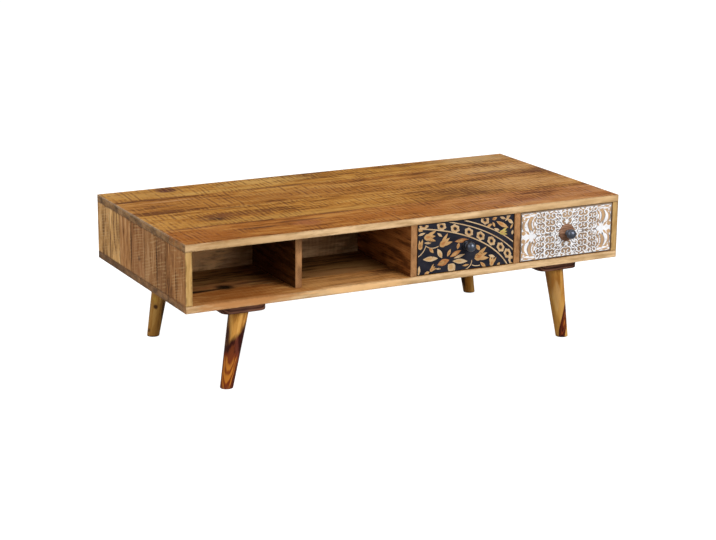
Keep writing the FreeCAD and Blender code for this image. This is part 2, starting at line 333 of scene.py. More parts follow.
class WoodGrain(Effect):
    """Streaks, growth rings and fibre along the first direction of its vector."""

    name = "wood_grain"
    inputs = {
        "Vector": ORIGIN, "Shift": ORIGIN, "Pith": ORIGIN, "Dark": (Kind.COLOUR, (0.1, 0.05, 0.02)),
        "Mid": (Kind.COLOUR, (0.3, 0.15, 0.05)), "Light": (Kind.COLOUR, (0.5, 0.3, 0.1)),
        "Spacing": (Kind.VALUE, 0.008), "Tone": (Kind.VALUE, 1.2), "Streaks": (Kind.VALUE, 0.8),
        "Flecks": (Kind.VALUE, 1.0), "Rings": (Kind.VALUE, 0.2), "Fibre": (Kind.VALUE, 0.6),
    }
    outputs = {"Color": Kind.COLOUR, "Figure": Kind.VALUE, "Height": Kind.VALUE}
    layers = {
        "Tone": Waves((4.0, 11.0, 11.0), 3.0), "Fibre": Waves((24.0, 520.0, 520.0), rough=0.65),
        "Streaks": Waves((3.2, 58.0, 58.0), 4.0, 0.62), "Flecks": Waves((21.0, 125.0, 125.0), 3.0, 0.6),
    }
    bend_waves = Waves((2.6, 7.0, 7.0))
    bend_reach = 0.03
    pore_waves = Waves((75.0, 1150.0, 1150.0), 1.0)
    pore_step = (0.62, 0.74)
    pore_shade = -0.16
    pore_depth = -0.8
    dark_step = (0.08, 0.5)
    light_step = (0.45, 0.92)

    @classmethod
    def wire(cls, wiring: Wiring, given: Sockets) -> Sockets:
        """Adds tone, streaks, rings and fibre, and colours the sum (see Effect.wire)."""
        lie = wiring.vector("ADD", given["Vector"], given["Shift"])
        bend = wiring.scaled(wiring.noise(lie, cls.bend_waves), cls.bend_reach)
        radius = wiring.number("ADD", wiring.apart(given["Vector"], given["Pith"], ACROSS_GRAIN), bend)
        ring = wiring.number("SINE", wiring.turns(radius, given["Spacing"]))
        layers = {name: wiring.noise(lie, waves) for name, waves in cls.layers.items()}
        layers["Rings"] = wiring.number("MULTIPLY_ADD", ring, 0.5, 0.5)
        pores = wiring.ease(wiring.noise(lie, cls.pore_waves), *cls.pore_step)
        figure: Value = 0.5
        for name, layer in layers.items():
            figure = wiring.number("ADD", wiring.scaled(layer, given[name]), figure)
        figure = wiring.number("MULTIPLY_ADD", pores, cls.pore_shade, figure, clamp=True)
        low = wiring.mix(wiring.ease(figure, *cls.dark_step), given["Dark"], given["Mid"])
        colour = wiring.mix(wiring.ease(figure, *cls.light_step), low, given["Light"])
        height = wiring.number("MULTIPLY_ADD", pores, cls.pore_depth, layers["Fibre"])
        return {"Color": colour, "Figure": figure, "Height": height}


class SawMarks(Effect):
    """Broken strokes that a saw leaves across the grain."""

    name = "saw_marks"
    inputs = {
        "Vector": ORIGIN, "Shift": ORIGIN, "Pitch": (Kind.VALUE, 0.009), "Slant": (Kind.VALUE, 0.1),
        "Cover": (Kind.VALUE, 0.5),
    }
    outputs = {"Strokes": Kind.VALUE, "Ridges": Kind.VALUE, "Height": Kind.VALUE}
    drift_waves = Waves((9.0, 5.0, 5.0))
    drift_reach = 0.03
    patch_waves = Waves((4.0, 9.0, 9.0), 3.0)
    patch_fade = 0.16
    bare_level = 0.62
    cover_gain = -0.42
    break_waves = Waves((75.0, 34.0, 34.0))
    break_step = (0.38, 0.6)
    first_height = 0.8
    second_height = 0.4
    second_share = 0.61
    stroke_step = (-0.3, 0.75)
    ridge_step = (0.1, -0.8)

    @classmethod
    def wire(cls, wiring: Wiring, given: Sockets) -> Sockets:
        """Breaks slanted waves up by two noises (see Effect.wire)."""
        lie = wiring.vector("ADD", given["Vector"], given["Shift"])
        along, across, _ = wiring.parts(given["Vector"])
        drift = wiring.scaled(wiring.noise(lie, cls.drift_waves), cls.drift_reach)
        way = wiring.number("ADD", wiring.number("MULTIPLY_ADD", across, given["Slant"], along), drift)
        turns = wiring.turns(way, given["Pitch"])
        first = wiring.number("MULTIPLY", wiring.number("SINE", turns), cls.first_height)
        second = wiring.number("SINE", wiring.number("MULTIPLY", turns, cls.second_share))
        wave = wiring.number("MULTIPLY_ADD", second, cls.second_height, first)
        bare = wiring.number("MULTIPLY_ADD", given["Cover"], cls.cover_gain, cls.bare_level)
        sawn = wiring.number("ADD", bare, cls.patch_fade)
        patch = wiring.ease(wiring.noise(lie, cls.patch_waves), bare, sawn)
        broken = wiring.ease(wiring.noise(lie, cls.break_waves), *cls.break_step)
        worked = wiring.number("MULTIPLY", patch, broken)
        strokes = wiring.number("MULTIPLY", wiring.ease(wave, *cls.stroke_step), worked)
        ridges = wiring.number("MULTIPLY", wiring.ease(wave, *cls.ridge_step), worked)
        return {"Strokes": strokes, "Ridges": ridges, "Height": wiring.number("MULTIPLY", strokes, -1.0)}


class Blot(Effect):
    """A spot with a border ragged along the grain, for a knot, a streak, a stained patch or a patch of
    painted light or shade.
    """

    name = "blot"
    inputs = {"Vector": ORIGIN, "Lie": ORIGIN, "Place": ORIGIN, "Reach": WHOLE, "Ragged": (Kind.VALUE, 0.6)}
    outputs = {"Spot": Kind.VALUE}
    rag_waves = Waves((24.0, 90.0, 90.0), 3.0, 0.6)
    fade = (0.25, 1.0)

    @classmethod
    def wire(cls, wiring: Wiring, given: Sockets) -> Sockets:
        """Fades a stretched ball out, with noise on its border (see Effect.wire)."""
        off = wiring.vector("SUBTRACT", given["Vector"], given["Place"])
        rag = wiring.scaled(wiring.noise(given["Lie"], cls.rag_waves), given["Ragged"])
        far = wiring.number("ADD", wiring.length(wiring.vector("DIVIDE", off, given["Reach"])), rag)
        return {"Spot": wiring.ease(far, *cls.fade, 1.0, 0.0)}


class BoardFaces(Effect):
    """Tells a board's sawn faces, planed edges, ends and worn arrises apart."""

    name = "board_faces"
    inputs = {"Vector": ORIGIN, "Normal": ORIGIN, "Half": WHOLE, "Width": (Kind.VALUE, 0.004)}
    outputs = {"Edge": Kind.VALUE, "End": Kind.VALUE, "Arris": Kind.VALUE}
    rag_waves = Waves((90.0, 90.0, 90.0), 3.0)
    rag_gain = 2.0
    face_step = (0.6, 0.8)

    @classmethod
    def wire(cls, wiring: Wiring, given: Sockets) -> Sockets:
        """Reads the faces from the normal and the arrises from the board's half sizes (see Effect.wire)."""
        along, across, _ = wiring.parts(wiring.vector("ABSOLUTE", given["Normal"]))
        inside = wiring.vector("SUBTRACT", given["Half"], wiring.vector("ABSOLUTE", given["Vector"]))
        first, second, third = wiring.parts(inside)
        total, least, most = (
            wiring.number(operation, wiring.number(operation, first, second), third)
            for operation in ("ADD", "MINIMUM", "MAXIMUM"))
        middle = wiring.number("SUBTRACT", wiring.number("SUBTRACT", total, least), most)
        rag = wiring.scaled(wiring.noise(given["Vector"], cls.rag_waves), given["Width"])
        near = wiring.number("MULTIPLY_ADD", rag, cls.rag_gain, middle)
        edge, end = (wiring.ease(part, *cls.face_step) for part in (across, along))
        return {"Edge": edge, "End": end, "Arris": wiring.ease(near, 0.0, given["Width"], 1.0, 0.0)}


class EndGrain(Effect):
    """Growth arcs and open pores where a board is cut across."""

    name = "end_grain"
    inputs = {"Vector": ORIGIN, "Shift": ORIGIN, "Pith": ORIGIN, "Spacing": (Kind.VALUE, 0.004)}
    outputs = {"Figure": Kind.VALUE}
    cloud_waves = Waves((30.0, 34.0, 60.0), 4.0, 0.6)
    cloud_gain = 2.4
    cloud_base = -0.7
    arc_gain = 0.09
    pore_waves = Waves((700.0, 700.0, 700.0), 1.0)
    pore_step = (0.58, 0.7)
    pore_shade = -0.3

    @classmethod
    def wire(cls, wiring: Wiring, given: Sockets) -> Sockets:
        """Adds clouds, arcs about the pith and pores (see Effect.wire)."""
        lie = wiring.vector("ADD", given["Vector"], given["Shift"])
        cloud = wiring.noise(lie, cls.cloud_waves)
        away = wiring.apart(given["Vector"], given["Pith"], ACROSS_GRAIN)
        radius = wiring.number("MULTIPLY_ADD", cloud, given["Spacing"], away)
        arcs = wiring.number("SINE", wiring.turns(radius, given["Spacing"]))
        pores = wiring.ease(wiring.noise(lie, cls.pore_waves), *cls.pore_step)
        figure = wiring.number("MULTIPLY_ADD", cloud, cls.cloud_gain, cls.cloud_base)
        figure = wiring.number("MULTIPLY_ADD", arcs, cls.arc_gain, figure)
        return {"Figure": wiring.number("MULTIPLY_ADD", pores, cls.pore_shade, figure, clamp=True)}


class Heartwood(Effect):
    """Where the dark heart of the trunk shows in a turned leg, with its wide zones and fine rings."""

    name = "heartwood"
    inputs = {
        "Vector": ORIGIN, "Pith": ORIGIN, "Lean": ORIGIN, "Reach": (Kind.VALUE, 0.02),
        "Zone": (Kind.VALUE, 0.01), "Spacing": (Kind.VALUE, 0.002), "Shift": ORIGIN,
    }
    outputs = {"Heart": Kind.VALUE, "Zone": Kind.VALUE, "Rings": Kind.VALUE}
    wander_waves = Waves((62.0, 62.0, 18.0), 3.0)
    wander_reach = 0.0022
    border = 0.0004

    @classmethod
    def wire(cls, wiring: Wiring, given: Sockets) -> Sockets:
        """Measures from the leaning pith and fades at the heart's border (see Effect.wire)."""
        height = wiring.parts(given["Vector"])[2]
        rise = wiring.joined(height, height, height)
        pith = wiring.vector("MULTIPLY_ADD", given["Lean"], rise, given["Pith"])
        lie = wiring.vector("ADD", given["Vector"], given["Shift"])
        wander = wiring.scaled(wiring.noise(lie, cls.wander_waves), cls.wander_reach)
        radius = wiring.number("ADD", wiring.apart(given["Vector"], pith, LEVEL), wander)
        past = wiring.number("SUBTRACT", radius, given["Reach"])
        zone, rings = (
            wiring.number("MULTIPLY_ADD", wiring.number("COSINE", wiring.turns(past, given[name])), -0.5, 0.5)
            for name in ("Zone", "Spacing"))
        heart = wiring.ease(past, -cls.border, cls.border, 1.0, 0.0)
        return {"Heart": heart, "Zone": zone, "Rings": rings}


class WornPaint(Effect):
    """Specks and thin places in paint or printing ink."""

    name = "worn_paint"
    inputs = {"Vector": ORIGIN, "Shift": ORIGIN, "Loss": (Kind.VALUE, 0.1)}
    outputs = {"Bare": Kind.VALUE, "Cloud": Kind.VALUE, "Height": Kind.VALUE}
    speck_waves = Waves((210.0, 420.0, 420.0), 3.0, 0.6)
    cloud_waves = Waves((24.0, 46.0, 46.0), 3.0)
    thinning = -0.5
    whole_level = 0.72
    speck_fade = 0.08

    @classmethod
    def wire(cls, wiring: Wiring, given: Sockets) -> Sockets:
        """Cuts a fine noise off where a cloud makes the paint thin (see Effect.wire)."""
        lie = wiring.vector("ADD", given["Vector"], given["Shift"])
        specks = wiring.noise(lie, cls.speck_waves)
        cloud = wiring.noise(lie, cls.cloud_waves)
        thin = wiring.number("ADD", wiring.scaled(cloud, cls.thinning), cls.whole_level)
        level = wiring.number("SUBTRACT", thin, given["Loss"])
        bare = wiring.ease(specks, level, wiring.number("ADD", level, cls.speck_fade))
        return {"Bare": bare, "Cloud": cloud, "Height": specks}


@dataclass
class Surface:
    """A material in the making: its tree, its Principled shader and the place on the piece."""

    material: Material
    wiring: Wiring
    shader: bpy.types.Node
    place: Socket

    def coat(self, colour: Value, roughness: Value, height: Value, relief: float,
             strength: float) -> Material:
        """Gives the shader its colour, roughness and relief.

        Args:
            colour: The colour.
            roughness: The roughness.
            height: The height, from 0 to 1.
            relief: How far 1 stands up, in metres.
            strength: How strongly the relief shows.

        Returns:
            The material.
        """
        bump = self.wiring.add("ShaderNodeBump")
        self.wiring.fill(bump, {"Height": height, "Distance": relief, "Strength": strength})
        normal = bump.outputs["Normal"]
        self.wiring.fill(self.shader, {"Base Color": colour, "Roughness": roughness, "Normal": normal})
        return self.material


@dataclass(frozen=True)
class Stain:
    """A knot, streak or patch of another colour at one place of the table, or a patch of painted light or
    shade.
    """

    place: Triple
    reach: Triple
    colour: Colour
    strength: float = 0.8
    ragged: float = 1.4
    level_reach: ClassVar[float] = 0.02
    level_ragged: ClassVar[float] = 1.8

    @classmethod
    def on_level(cls, level: float, rows: Sequence[tuple]) -> Iterator["Stain"]:
        """Marks on a level face: real stains and patches of painted light or shade.

        Args:
            level: The face's height.
            rows: Each mark's x and y, its reach along and across the table, its colour, its strength and,
            where that isn't the usual one, how ragged it is.

        Returns:
            Each stain.
        """
        for x, y, along, across, colour, strength, *ragged in rows:
            ragged = ragged[0] if ragged else cls.level_ragged
            yield cls((x, y, level), (along, across, cls.level_reach), colour, strength, ragged)

    def touches(self, low: Vector, high: Vector) -> bool:
        """True if the mark reaches into a board."""
        ends = zip(self.place, self.reach, low, high)
        return all(start - far < place < end + far for place, far, start, end in ends)

    def laid(self, surface: Surface, colour: Value, lie: Value,
             start: Sequence[float] = (0.0, 0.0, 0.0)) -> Socket:
        """Lays the mark over a colour.

        Args:
            surface: The surface that it is on.
            colour: The colour below.
            lie: The place in the grain's own order.
            start: What the mark's place is measured from.

        Returns:
            The colour with the mark over it.
        """
        wiring = surface.wiring
        place = tuple(first + off for first, off in zip(start, self.place))
        blot = Blot.place(
            wiring, vector=surface.place, lie=lie, place=place, reach=self.reach, ragged=self.ragged)
        return wiring.mix(wiring.number("MULTIPLY", blot["Spot"], self.strength), colour, self.colour)


def shaded(colour: Colour, shade: float) -> Colour:
    """A colour made darker or lighter."""
    return tuple(part * shade for part in colour)


@dataclass(frozen=True)
class Finish(ABC):
    """A finish: what its materials and its slot are called, and how strongly it mirrors."""

    name: str
    slot: str
    mirror: ClassVar[float] = 0.042
    shift_reach: ClassVar[float] = 9.0

    def begin(self, label: str) -> Surface:
        """Starts a material.

        Args:
            label: What it is called after the finish's name.

        Returns:
            Its surface.
        """
        material = bpy.data.materials.new(f"{self.name}_{label}")
        material.use_nodes = True
        wiring = Wiring(material.node_tree)
        shader = material.node_tree.nodes["Principled BSDF"]
        wiring.fill(shader, {"Specular IOR Level": self.mirror})
        return Surface(material, wiring, shader, wiring.add("ShaderNodeTexCoord").outputs["Object"])

    def shift(self, chance: np.random.Generator) -> Triple:
        """How far a piece's figure is moved, which tells it from others."""
        return tuple(chance.uniform(-self.shift_reach, self.shift_reach, 3))


@dataclass(frozen=True, kw_only=True)
class WoodFinish(Finish):
    """A finish of wood: its colours, the parts of its figure, its gloss and its relief."""

    dark: Colour
    mid: Colour
    light: Colour
    spacing: float = 0.006
    tone: float = 1.0
    streaks: float = 0.9
    flecks: float = 0.7
    rings: float = 0.4
    fibre: float = 0.6
    smooth: float = 0.35
    rough: float = 0.55
    relief: float = 0.0003
    strength: float = 0.4

    def grained(self, wiring: Wiring, lie: Value, shift: Triple, pith: Triple, shade: float = 1.0,
                warmth: float = 0.0) -> Sockets:
        """Places the grain with the values of this finish.

        Args:
            wiring: The material's tree.
            lie: The place in the grain's own order.
            shift: How far the figure is moved.
            pith: Where the middle of the trunk lies.
            shade: How light the piece is.
            warmth: How red it is.

        Returns:
            The grain's outputs by name.
        """
        colours = {name: self.toned(getattr(self, name), shade, warmth) for name in ("dark", "mid", "light")}
        return WoodGrain.place(
            wiring, vector=lie, shift=shift, pith=pith, spacing=self.spacing, tone=self.tone,
            streaks=self.streaks, flecks=self.flecks, rings=self.rings, fibre=self.fibre, **colours)

    @staticmethod
    def toned(colour: Colour, shade: float, warmth: float, green_share: float = 0.4) -> Colour:
        """A colour made darker and redder.

        Args:
            colour: The finish's colour.
            shade: How light it becomes.
            warmth: How much red it gains and blue it loses.
            green_share: How much of that the green loses.

        Returns:
            The piece's own colour.
        """
        pull = (1.0 + warmth, 1.0 - green_share * warmth, 1.0 - warmth)
        return tuple(part * shade * share for part, share in zip(colour, pull))

    def coated(self, surface: Surface, colour: Value, grain: Sockets,
               height: Value) -> Material:
        """Coats a surface, which is smoother where the figure is light.

        Args:
            surface: The surface.
            colour: Its colour.
            grain: The grain's outputs.
            height: The height of its relief.

        Returns:
            The material.
        """
        roughness = surface.wiring.ease(grain["Figure"], 0.0, 1.0, self.rough, self.smooth)
        return surface.coat(colour, roughness, height, self.relief, self.strength)


@dataclass(frozen=True, kw_only=True)
class BoardFinish(WoodFinish):
    """Oiled plank wood: sawn faces, planed edges and end grain."""

    edge_dark: Colour
    edge_light: Colour
    end_dark: Colour
    end_light: Colour
    stroke: Colour
    stroke_share: float
    stroke_cover: float
    stroke_pitch: float
    stroke_slant: float
    strokes_follow: bool = True
    ridge_share: float
    arris: Colour
    arris_share: float = 0.3
    smooth: float = 0.42
    rough: float = 0.62
    relief: float = 0.0005
    strength: float = 0.5
    saw_height: ClassVar[float] = 0.6
    edge_step: ClassVar[Span] = (0.1, 0.9)
    pith_beside: ClassVar[Span] = (-0.05, 0.05)
    pith_below: ClassVar[Span] = (-0.12, -0.05)

    def material(self, board: "Board") -> Material:
        """The material of one board, with its own figure.

        Args:
            board: The board that it dresses.

        Returns:
            The material.
        """
        surface = self.begin(board.name)
        wiring = surface.wiring
        chance = np.random.default_rng(board.seed)
        shift = self.shift(chance)
        pith = (0.0, chance.uniform(*self.pith_beside), chance.uniform(*self.pith_below))
        lie = wiring.in_order(wiring.vector("SUBTRACT", surface.place, tuple(board.centre)), board.order)
        normal = wiring.in_order(wiring.add("ShaderNodeNewGeometry").outputs["Normal"], board.order)
        tone = (board.shade, board.warmth)
        grain = self.grained(wiring, lie, shift, pith, *tone)
        faces = BoardFaces.place(wiring, vector=lie, normal=normal, half=board.half_in_order)
        saw = SawMarks.place(wiring, vector=lie, shift=shift, pitch=self.stroke_pitch,
                             slant=self.stroke_slant, cover=self.stroke_cover)
        ends = EndGrain.place(wiring, vector=lie, shift=shift, pith=pith)
        planed = wiring.ease(grain["Figure"], *self.edge_step)
        colour = grain["Color"]
        for face, figure, *colours in (("Edge", planed, self.edge_dark, self.edge_light),
                                       ("End", ends["Figure"], self.end_dark, self.end_light)):
            cut = wiring.mix(figure, *(shaded(part, board.cut_shade) for part in colours))
            colour = wiring.mix(faces[face], colour, cut)
        for stain_or_light in board.stains_and_light:
            colour = stain_or_light.laid(surface, colour, lie)
        sawn = wiring.number("SUBTRACT", 1.0, wiring.number("MAXIMUM", faces["Edge"], faces["End"]))
        stroke = self.toned(self.stroke, *tone) if self.strokes_follow else self.stroke
        for marks, share, tint in (("Ridges", self.ridge_share, self.toned(self.light, *tone)),
                                   ("Strokes", self.stroke_share, stroke)):
            shown = wiring.number("MULTIPLY", wiring.number("MULTIPLY", saw[marks], share), sawn)
            colour = wiring.mix(shown, colour, tint)
        worn = wiring.number("MULTIPLY", faces["Arris"], self.arris_share)
        colour = wiring.mix(worn, colour, self.arris)
        height = wiring.number("MULTIPLY_ADD", saw["Height"], self.saw_height, grain["Height"])
        return self.coated(surface, colour, grain, height)


@dataclass(frozen=True)
class Heart:
    """The dark heart of a trunk: its pith at the leg's foot, its reach, and its lean for each metre up."""

    pith: Triple
    reach: float
    lean: Triple = (0.0, 0.0, 0.0)


@dataclass(frozen=True)
class LegFigure:
    """How the heart shows in one leg: its border, its flame if that isn't the border's, and the marks of real
    colour and painted shade on it.
    """

    border: Heart
    flame: Heart | None = None
    flame_top: float = 1.0
    zone: float = 0.01
    spacing: float = 0.0024
    shade: float = 1.0
    stains_and_light: tuple[Stain, ...] = ()


@dataclass(frozen=True, kw_only=True)
class LegFinish(WoodFinish):
    """Turned wood with golden sapwood and a dark red heart."""

    heart_dark: Colour
    heart_mid: Colour
    heart_bright: Colour
    flame_fade: float = 0.04
    pith: ClassVar[Triple] = (0.0, 0.03, 0.05)
    figure_share: ClassVar[float] = 0.5
    ring_share: ClassVar[float] = 0.7
    mid_step: ClassVar[Span] = (0.05, 0.5)
    bright_step: ClassVar[Span] = (0.5, 1.0)

    def material(self, label: str, foot: Vector, slope: float, figure: LegFigure, seed: int) -> Material:
        """The material of one leg.

        Args:
            label: The leg's name.
            foot: The middle of its foot.
            slope: How far it splays for each metre up.
            figure: How the heart lies in it.
            seed: What tells its grain from the other legs'.

        Returns:
            The material.
        """
        surface = self.begin(label)
        wiring = surface.wiring
        shift = self.shift(np.random.default_rng(seed))
        x, y, z = wiring.parts(wiring.vector("SUBTRACT", surface.place, tuple(foot)))
        upright = wiring.number("MULTIPLY_ADD", z, -slope, x)
        lie = wiring.joined(z, upright, y)
        grain = self.grained(wiring, lie, shift, self.pith, figure.shade)
        border, rings = (
            Heartwood.place(
                wiring, vector=wiring.joined(upright, y, z), pith=heart.pith, lean=heart.lean,
                reach=heart.reach, zone=figure.zone, spacing=figure.spacing, shift=shift)
            for heart in (figure.border, figure.flame or figure.border))
        flame = wiring.number("ADD", wiring.scaled(grain["Figure"], self.figure_share), rings["Zone"])
        flame = wiring.number("ADD", wiring.scaled(rings["Rings"], self.ring_share), flame)
        below = wiring.ease(z, figure.flame_top - self.flame_fade, figure.flame_top, 1.0, 0.0)
        flame = wiring.number("MULTIPLY", flame, below)
        red = wiring.mix(wiring.ease(flame, *self.mid_step), self.heart_dark, self.heart_mid)
        red = wiring.mix(wiring.ease(flame, *self.bright_step), red, self.heart_bright)
        colour = wiring.mix(border["Heart"], grain["Color"], red)
        for stain_or_light in figure.stains_and_light:
            colour = stain_or_light.laid(surface, colour, lie, foot)
        return self.coated(surface, colour, grain, grain["Height"])


@dataclass(frozen=True, kw_only=True)
class PlainWood(WoodFinish):
    """Planed or turned wood of a small piece, with its grain along one direction."""

    grain: Axis = Axis.X
    pith: ClassVar[Triple] = (0.0, 0.02, -0.1)

    def material(self, label: str, seed: int) -> Material:
        """The material of one piece or of several alike.

        Args:
            label: What it dresses.
            seed: What tells its grain from others.

        Returns:
            The material.
        """
        surface = self.begin(label)
        others = tuple(axis for axis in Axis if axis is not self.grain)
        lie = surface.wiring.in_order(surface.place, (self.grain, *others))
        grain = self.grained(surface.wiring, lie, self.shift(np.random.default_rng(seed)), self.pith)
        return self.coated(surface, grain["Color"], grain, grain["Height"])


@dataclass(frozen=True)
class Paint(Finish):
    """Paint or ink that is worn through to what lies below it."""

    colour: Colour
    second: Colour
    below: Colour
    loss: float = 0.1
    smooth: float = 0.4
    rough: float = 0.6
    relief: float = 0.0002
    strength: float = 0.4
    cloud_step: ClassVar[Span] = (0.3, 0.7)
    dull_step: ClassVar[Span] = (0.2, 0.8)

    def material(self, label: str, seed: int) -> Material:
        """The material of one painted face or of one ink.

        Args:
            label: What it dresses.
            seed: What tells its wear from others.

        Returns:
            The material.
        """
        surface = self.begin(label)
        wiring = surface.wiring
        shift = self.shift(np.random.default_rng(seed))
        worn = WornPaint.place(wiring, vector=surface.place, shift=shift, loss=self.loss)
        colour = wiring.mix(wiring.ease(worn["Cloud"], *self.cloud_step), self.colour, self.second)
        colour = wiring.mix(worn["Bare"], colour, self.below)
        roughness = wiring.ease(worn["Cloud"], *self.dull_step, self.smooth, self.rough)
        return surface.coat(colour, roughness, worn["Height"], self.relief, self.strength)


@dataclass(frozen=True)
class Metal(Finish):
    """Metal with a cloudy tarnish."""

    mirror: ClassVar[float] = 0.5
    colour: Colour
    tarnish: Colour
    metallic: float = 1.0
    smooth: float = 0.25
    rough: float = 0.45
    relief: float = 0.00008
    strength: float = 0.3
    cloud_step: ClassVar[Span] = (0.35, 0.65)
    dull_step: ClassVar[Span] = (0.3, 0.7)

    def material(self, label: str, seed: int) -> Material:
        """The material of one sort of fitting.

        Args:
            label: What it dresses.
            seed: What tells its tarnish from others.

        Returns:
            The material.
        """
        surface = self.begin(label)
        wiring = surface.wiring
        worn = WornPaint.place(wiring, vector=surface.place, shift=self.shift(np.random.default_rng(seed)))
        colour = wiring.mix(wiring.ease(worn["Cloud"], *self.cloud_step), self.colour, self.tarnish)
        roughness = wiring.ease(worn["Height"], *self.dull_step, self.smooth, self.rough)
        wiring.fill(surface.shader, {"Metallic": self.metallic})
        return surface.coat(colour, roughness, worn["Height"], self.relief, self.strength)


TOP_WOOD = BoardFinish(
    "oiled_top", "top_mango", dark=(0.12, 0.037, 0.004), mid=(0.375, 0.15, 0.016), light=(0.53, 0.27, 0.052),
    edge_dark=(0.4, 0.245, 0.11), edge_light=(0.7, 0.475, 0.26), end_dark=(0.07, 0.037, 0.018),
    end_light=(0.36, 0.195, 0.078), stroke=(0.12, 0.034, 0.004), stroke_share=0.66, stroke_cover=0.64,
    stroke_pitch=0.0115, stroke_slant=-0.05, ridge_share=0.45, arris=(0.1, 0.035, 0.008), spacing=0.011,
    tone=1.7, streaks=1.5, flecks=1.35, rings=0.12, fibre=0.7)
CASE_WOOD = replace(
    TOP_WOOD, name="oiled_case", slot="case_mango", dark=(0.1, 0.035, 0.01), mid=(0.39, 0.165, 0.043),
    light=(0.54, 0.27, 0.085), end_dark=(0.085, 0.045, 0.022), end_light=(0.32, 0.165, 0.07),
    stroke_share=0.14, stroke_cover=0.5, ridge_share=0.1, tone=1.5, streaks=1.7, flecks=1.2)
END_WOOD = replace(
    TOP_WOOD, name="oiled_end", slot="end_mango", dark=(0.1, 0.042, 0.014), mid=(0.3, 0.14, 0.045),
    light=(0.46, 0.26, 0.11), edge_dark=(0.42, 0.235, 0.075), edge_light=(0.62, 0.39, 0.15),
    stroke=(0.54, 0.34, 0.15), stroke_share=0.38, stroke_cover=0.55, stroke_pitch=0.0075, stroke_slant=0.3,
    strokes_follow=False, ridge_share=0.0, arris=(0.05, 0.022, 0.01), arris_share=0.5, tone=1.2, streaks=0.6,
    flecks=1.45)
INSIDE_WOOD = replace(
    CASE_WOOD, name="oiled_inside", slot="inside_mango", dark=(0.08, 0.025, 0.006), mid=(0.23, 0.082, 0.02),
    light=(0.34, 0.14, 0.04), end_dark=(0.2, 0.092, 0.036), end_light=(0.44, 0.22, 0.09))
PARTITION_WOOD = replace(
    INSIDE_WOOD, name="oiled_partition", dark=(0.1, 0.045, 0.02), mid=(0.39, 0.2, 0.088),
    light=(0.62, 0.39, 0.2))
LEG_WOOD = LegFinish(
    "turned_leg", "leg_rosewood", dark=(0.24, 0.095, 0.016), mid=(0.43, 0.205, 0.043),
    light=(0.56, 0.31, 0.085), heart_dark=(0.035, 0.007, 0.005), heart_mid=(0.17, 0.03, 0.008),
    heart_bright=(0.48, 0.165, 0.022), tone=1.4, streaks=1.3, flecks=0.9, rings=0.2, smooth=0.3, rough=0.46,
    relief=0.00025, strength=0.35)
PLATE_WOOD = PlainWood(
    "leg_plate", "plate_rosewood", dark=(0.024, 0.009, 0.006), mid=(0.085, 0.034, 0.022),
    light=(0.22, 0.1, 0.06))
ROSETTE_WOOD = PlainWood(
    "rosette", "rosette_wood", dark=(0.11, 0.052, 0.031), mid=(0.235, 0.122, 0.073),
    light=(0.36, 0.21, 0.135), spacing=0.003, smooth=0.28, rough=0.42)
DRAWER_WOOD = PlainWood(
    "drawer_box", "drawer_wood", dark=(0.3, 0.16, 0.06), mid=(0.48, 0.3, 0.14), light=(0.62, 0.43, 0.22),
    rough=0.65)
DRAWER_SIDE_WOOD = replace(DRAWER_WOOD, name="drawer_side", grain=Axis.Y)
DRAWER_PLY = replace(
    DRAWER_WOOD, name="drawer_ply", slot="drawer_ply", dark=(0.38, 0.24, 0.11), mid=(0.52, 0.36, 0.19),
    light=(0.62, 0.46, 0.27))
BEECH = replace(
    DRAWER_WOOD, name="beech", slot="beech", dark=(0.4, 0.24, 0.12), mid=(0.56, 0.38, 0.21),
    light=(0.66, 0.48, 0.3))
TAN_GROUND = PlainWood(
    "tan_ground", "white_print", dark=(0.2, 0.125, 0.075), mid=(0.33, 0.22, 0.135), light=(0.46, 0.32, 0.2),
    rough=0.6)
DARK_PAINT = Paint(
    "dark_ground", "dark_print", (0.012, 0.012, 0.018), (0.022, 0.022, 0.03), (0.07, 0.045, 0.03), loss=0.04)
INKS = {
    Ink.CREAM: Paint("cream_ink", "dark_print", (0.56, 0.4, 0.23), (0.46, 0.3, 0.16), (0.2, 0.11, 0.05)),
    Ink.TAN: Paint("tan_ink", "dark_print", (0.5, 0.3, 0.13), (0.4, 0.215, 0.08), (0.16, 0.08, 0.03)),
    Ink.AMBER: Paint("amber_ink", "dark_print", (0.44, 0.2, 0.07), (0.34, 0.14, 0.05), (0.14, 0.06, 0.02)),
    Ink.STRAW: Paint("straw_ink", "dark_print", (0.52, 0.4, 0.12), (0.42, 0.32, 0.09), (0.18, 0.12, 0.04)),
    Ink.NIGHT: replace(DARK_PAINT, name="night_ink"),
    Ink.WHITE: Paint("white_ink", "white_print", (0.8, 0.8, 0.82), (0.7, 0.69, 0.7), (0.42, 0.31, 0.22)),
    Ink.SAND: Paint("sand_ink", "white_print", (0.5, 0.31, 0.16), (0.4, 0.25, 0.14), (0.3, 0.2, 0.13)),
    Ink.SLATE: Paint("slate_ink", "white_print", (0.13, 0.12, 0.12), (0.2, 0.165, 0.14), (0.3, 0.22, 0.15)),
}
IRON = Metal(
    "iron", "knob_iron", (0.16, 0.185, 0.235), (0.075, 0.085, 0.11), metallic=0.9, smooth=0.28, rough=0.46)
DARK_IRON = replace(IRON, name="dark_iron", colour=(0.03, 0.03, 0.036), tarnish=(0.016, 0.016, 0.02))
STEEL = Metal("steel", "steel", (0.56, 0.56, 0.58), (0.38, 0.38, 0.4))


def new_object(name: str, data: bpy.types.ID) -> Piece:
    """A new object at the table's origin.

    Args:
        name: The object's name.
        data: Its mesh, lamp or camera.

    Returns:
        The object.
    """
    piece = bpy.data.objects.new(name, data)
    bpy.context.scene.collection.objects.link(piece)
    return piece


def mesh_piece(name: str, points: np.ndarray, faces: Sequence[Sequence[int]]) -> Piece:
    """A new mesh object in the table's frame.

    Args:
        name: The piece's name.
        points: Its vertices.
        faces: Its faces.

    Returns:
        The object.
    """
    mesh = bpy.data.meshes.new(name)
    mesh.from_pydata(points.tolist(), [], faces)
    mesh.update()
    return new_object(name, mesh)


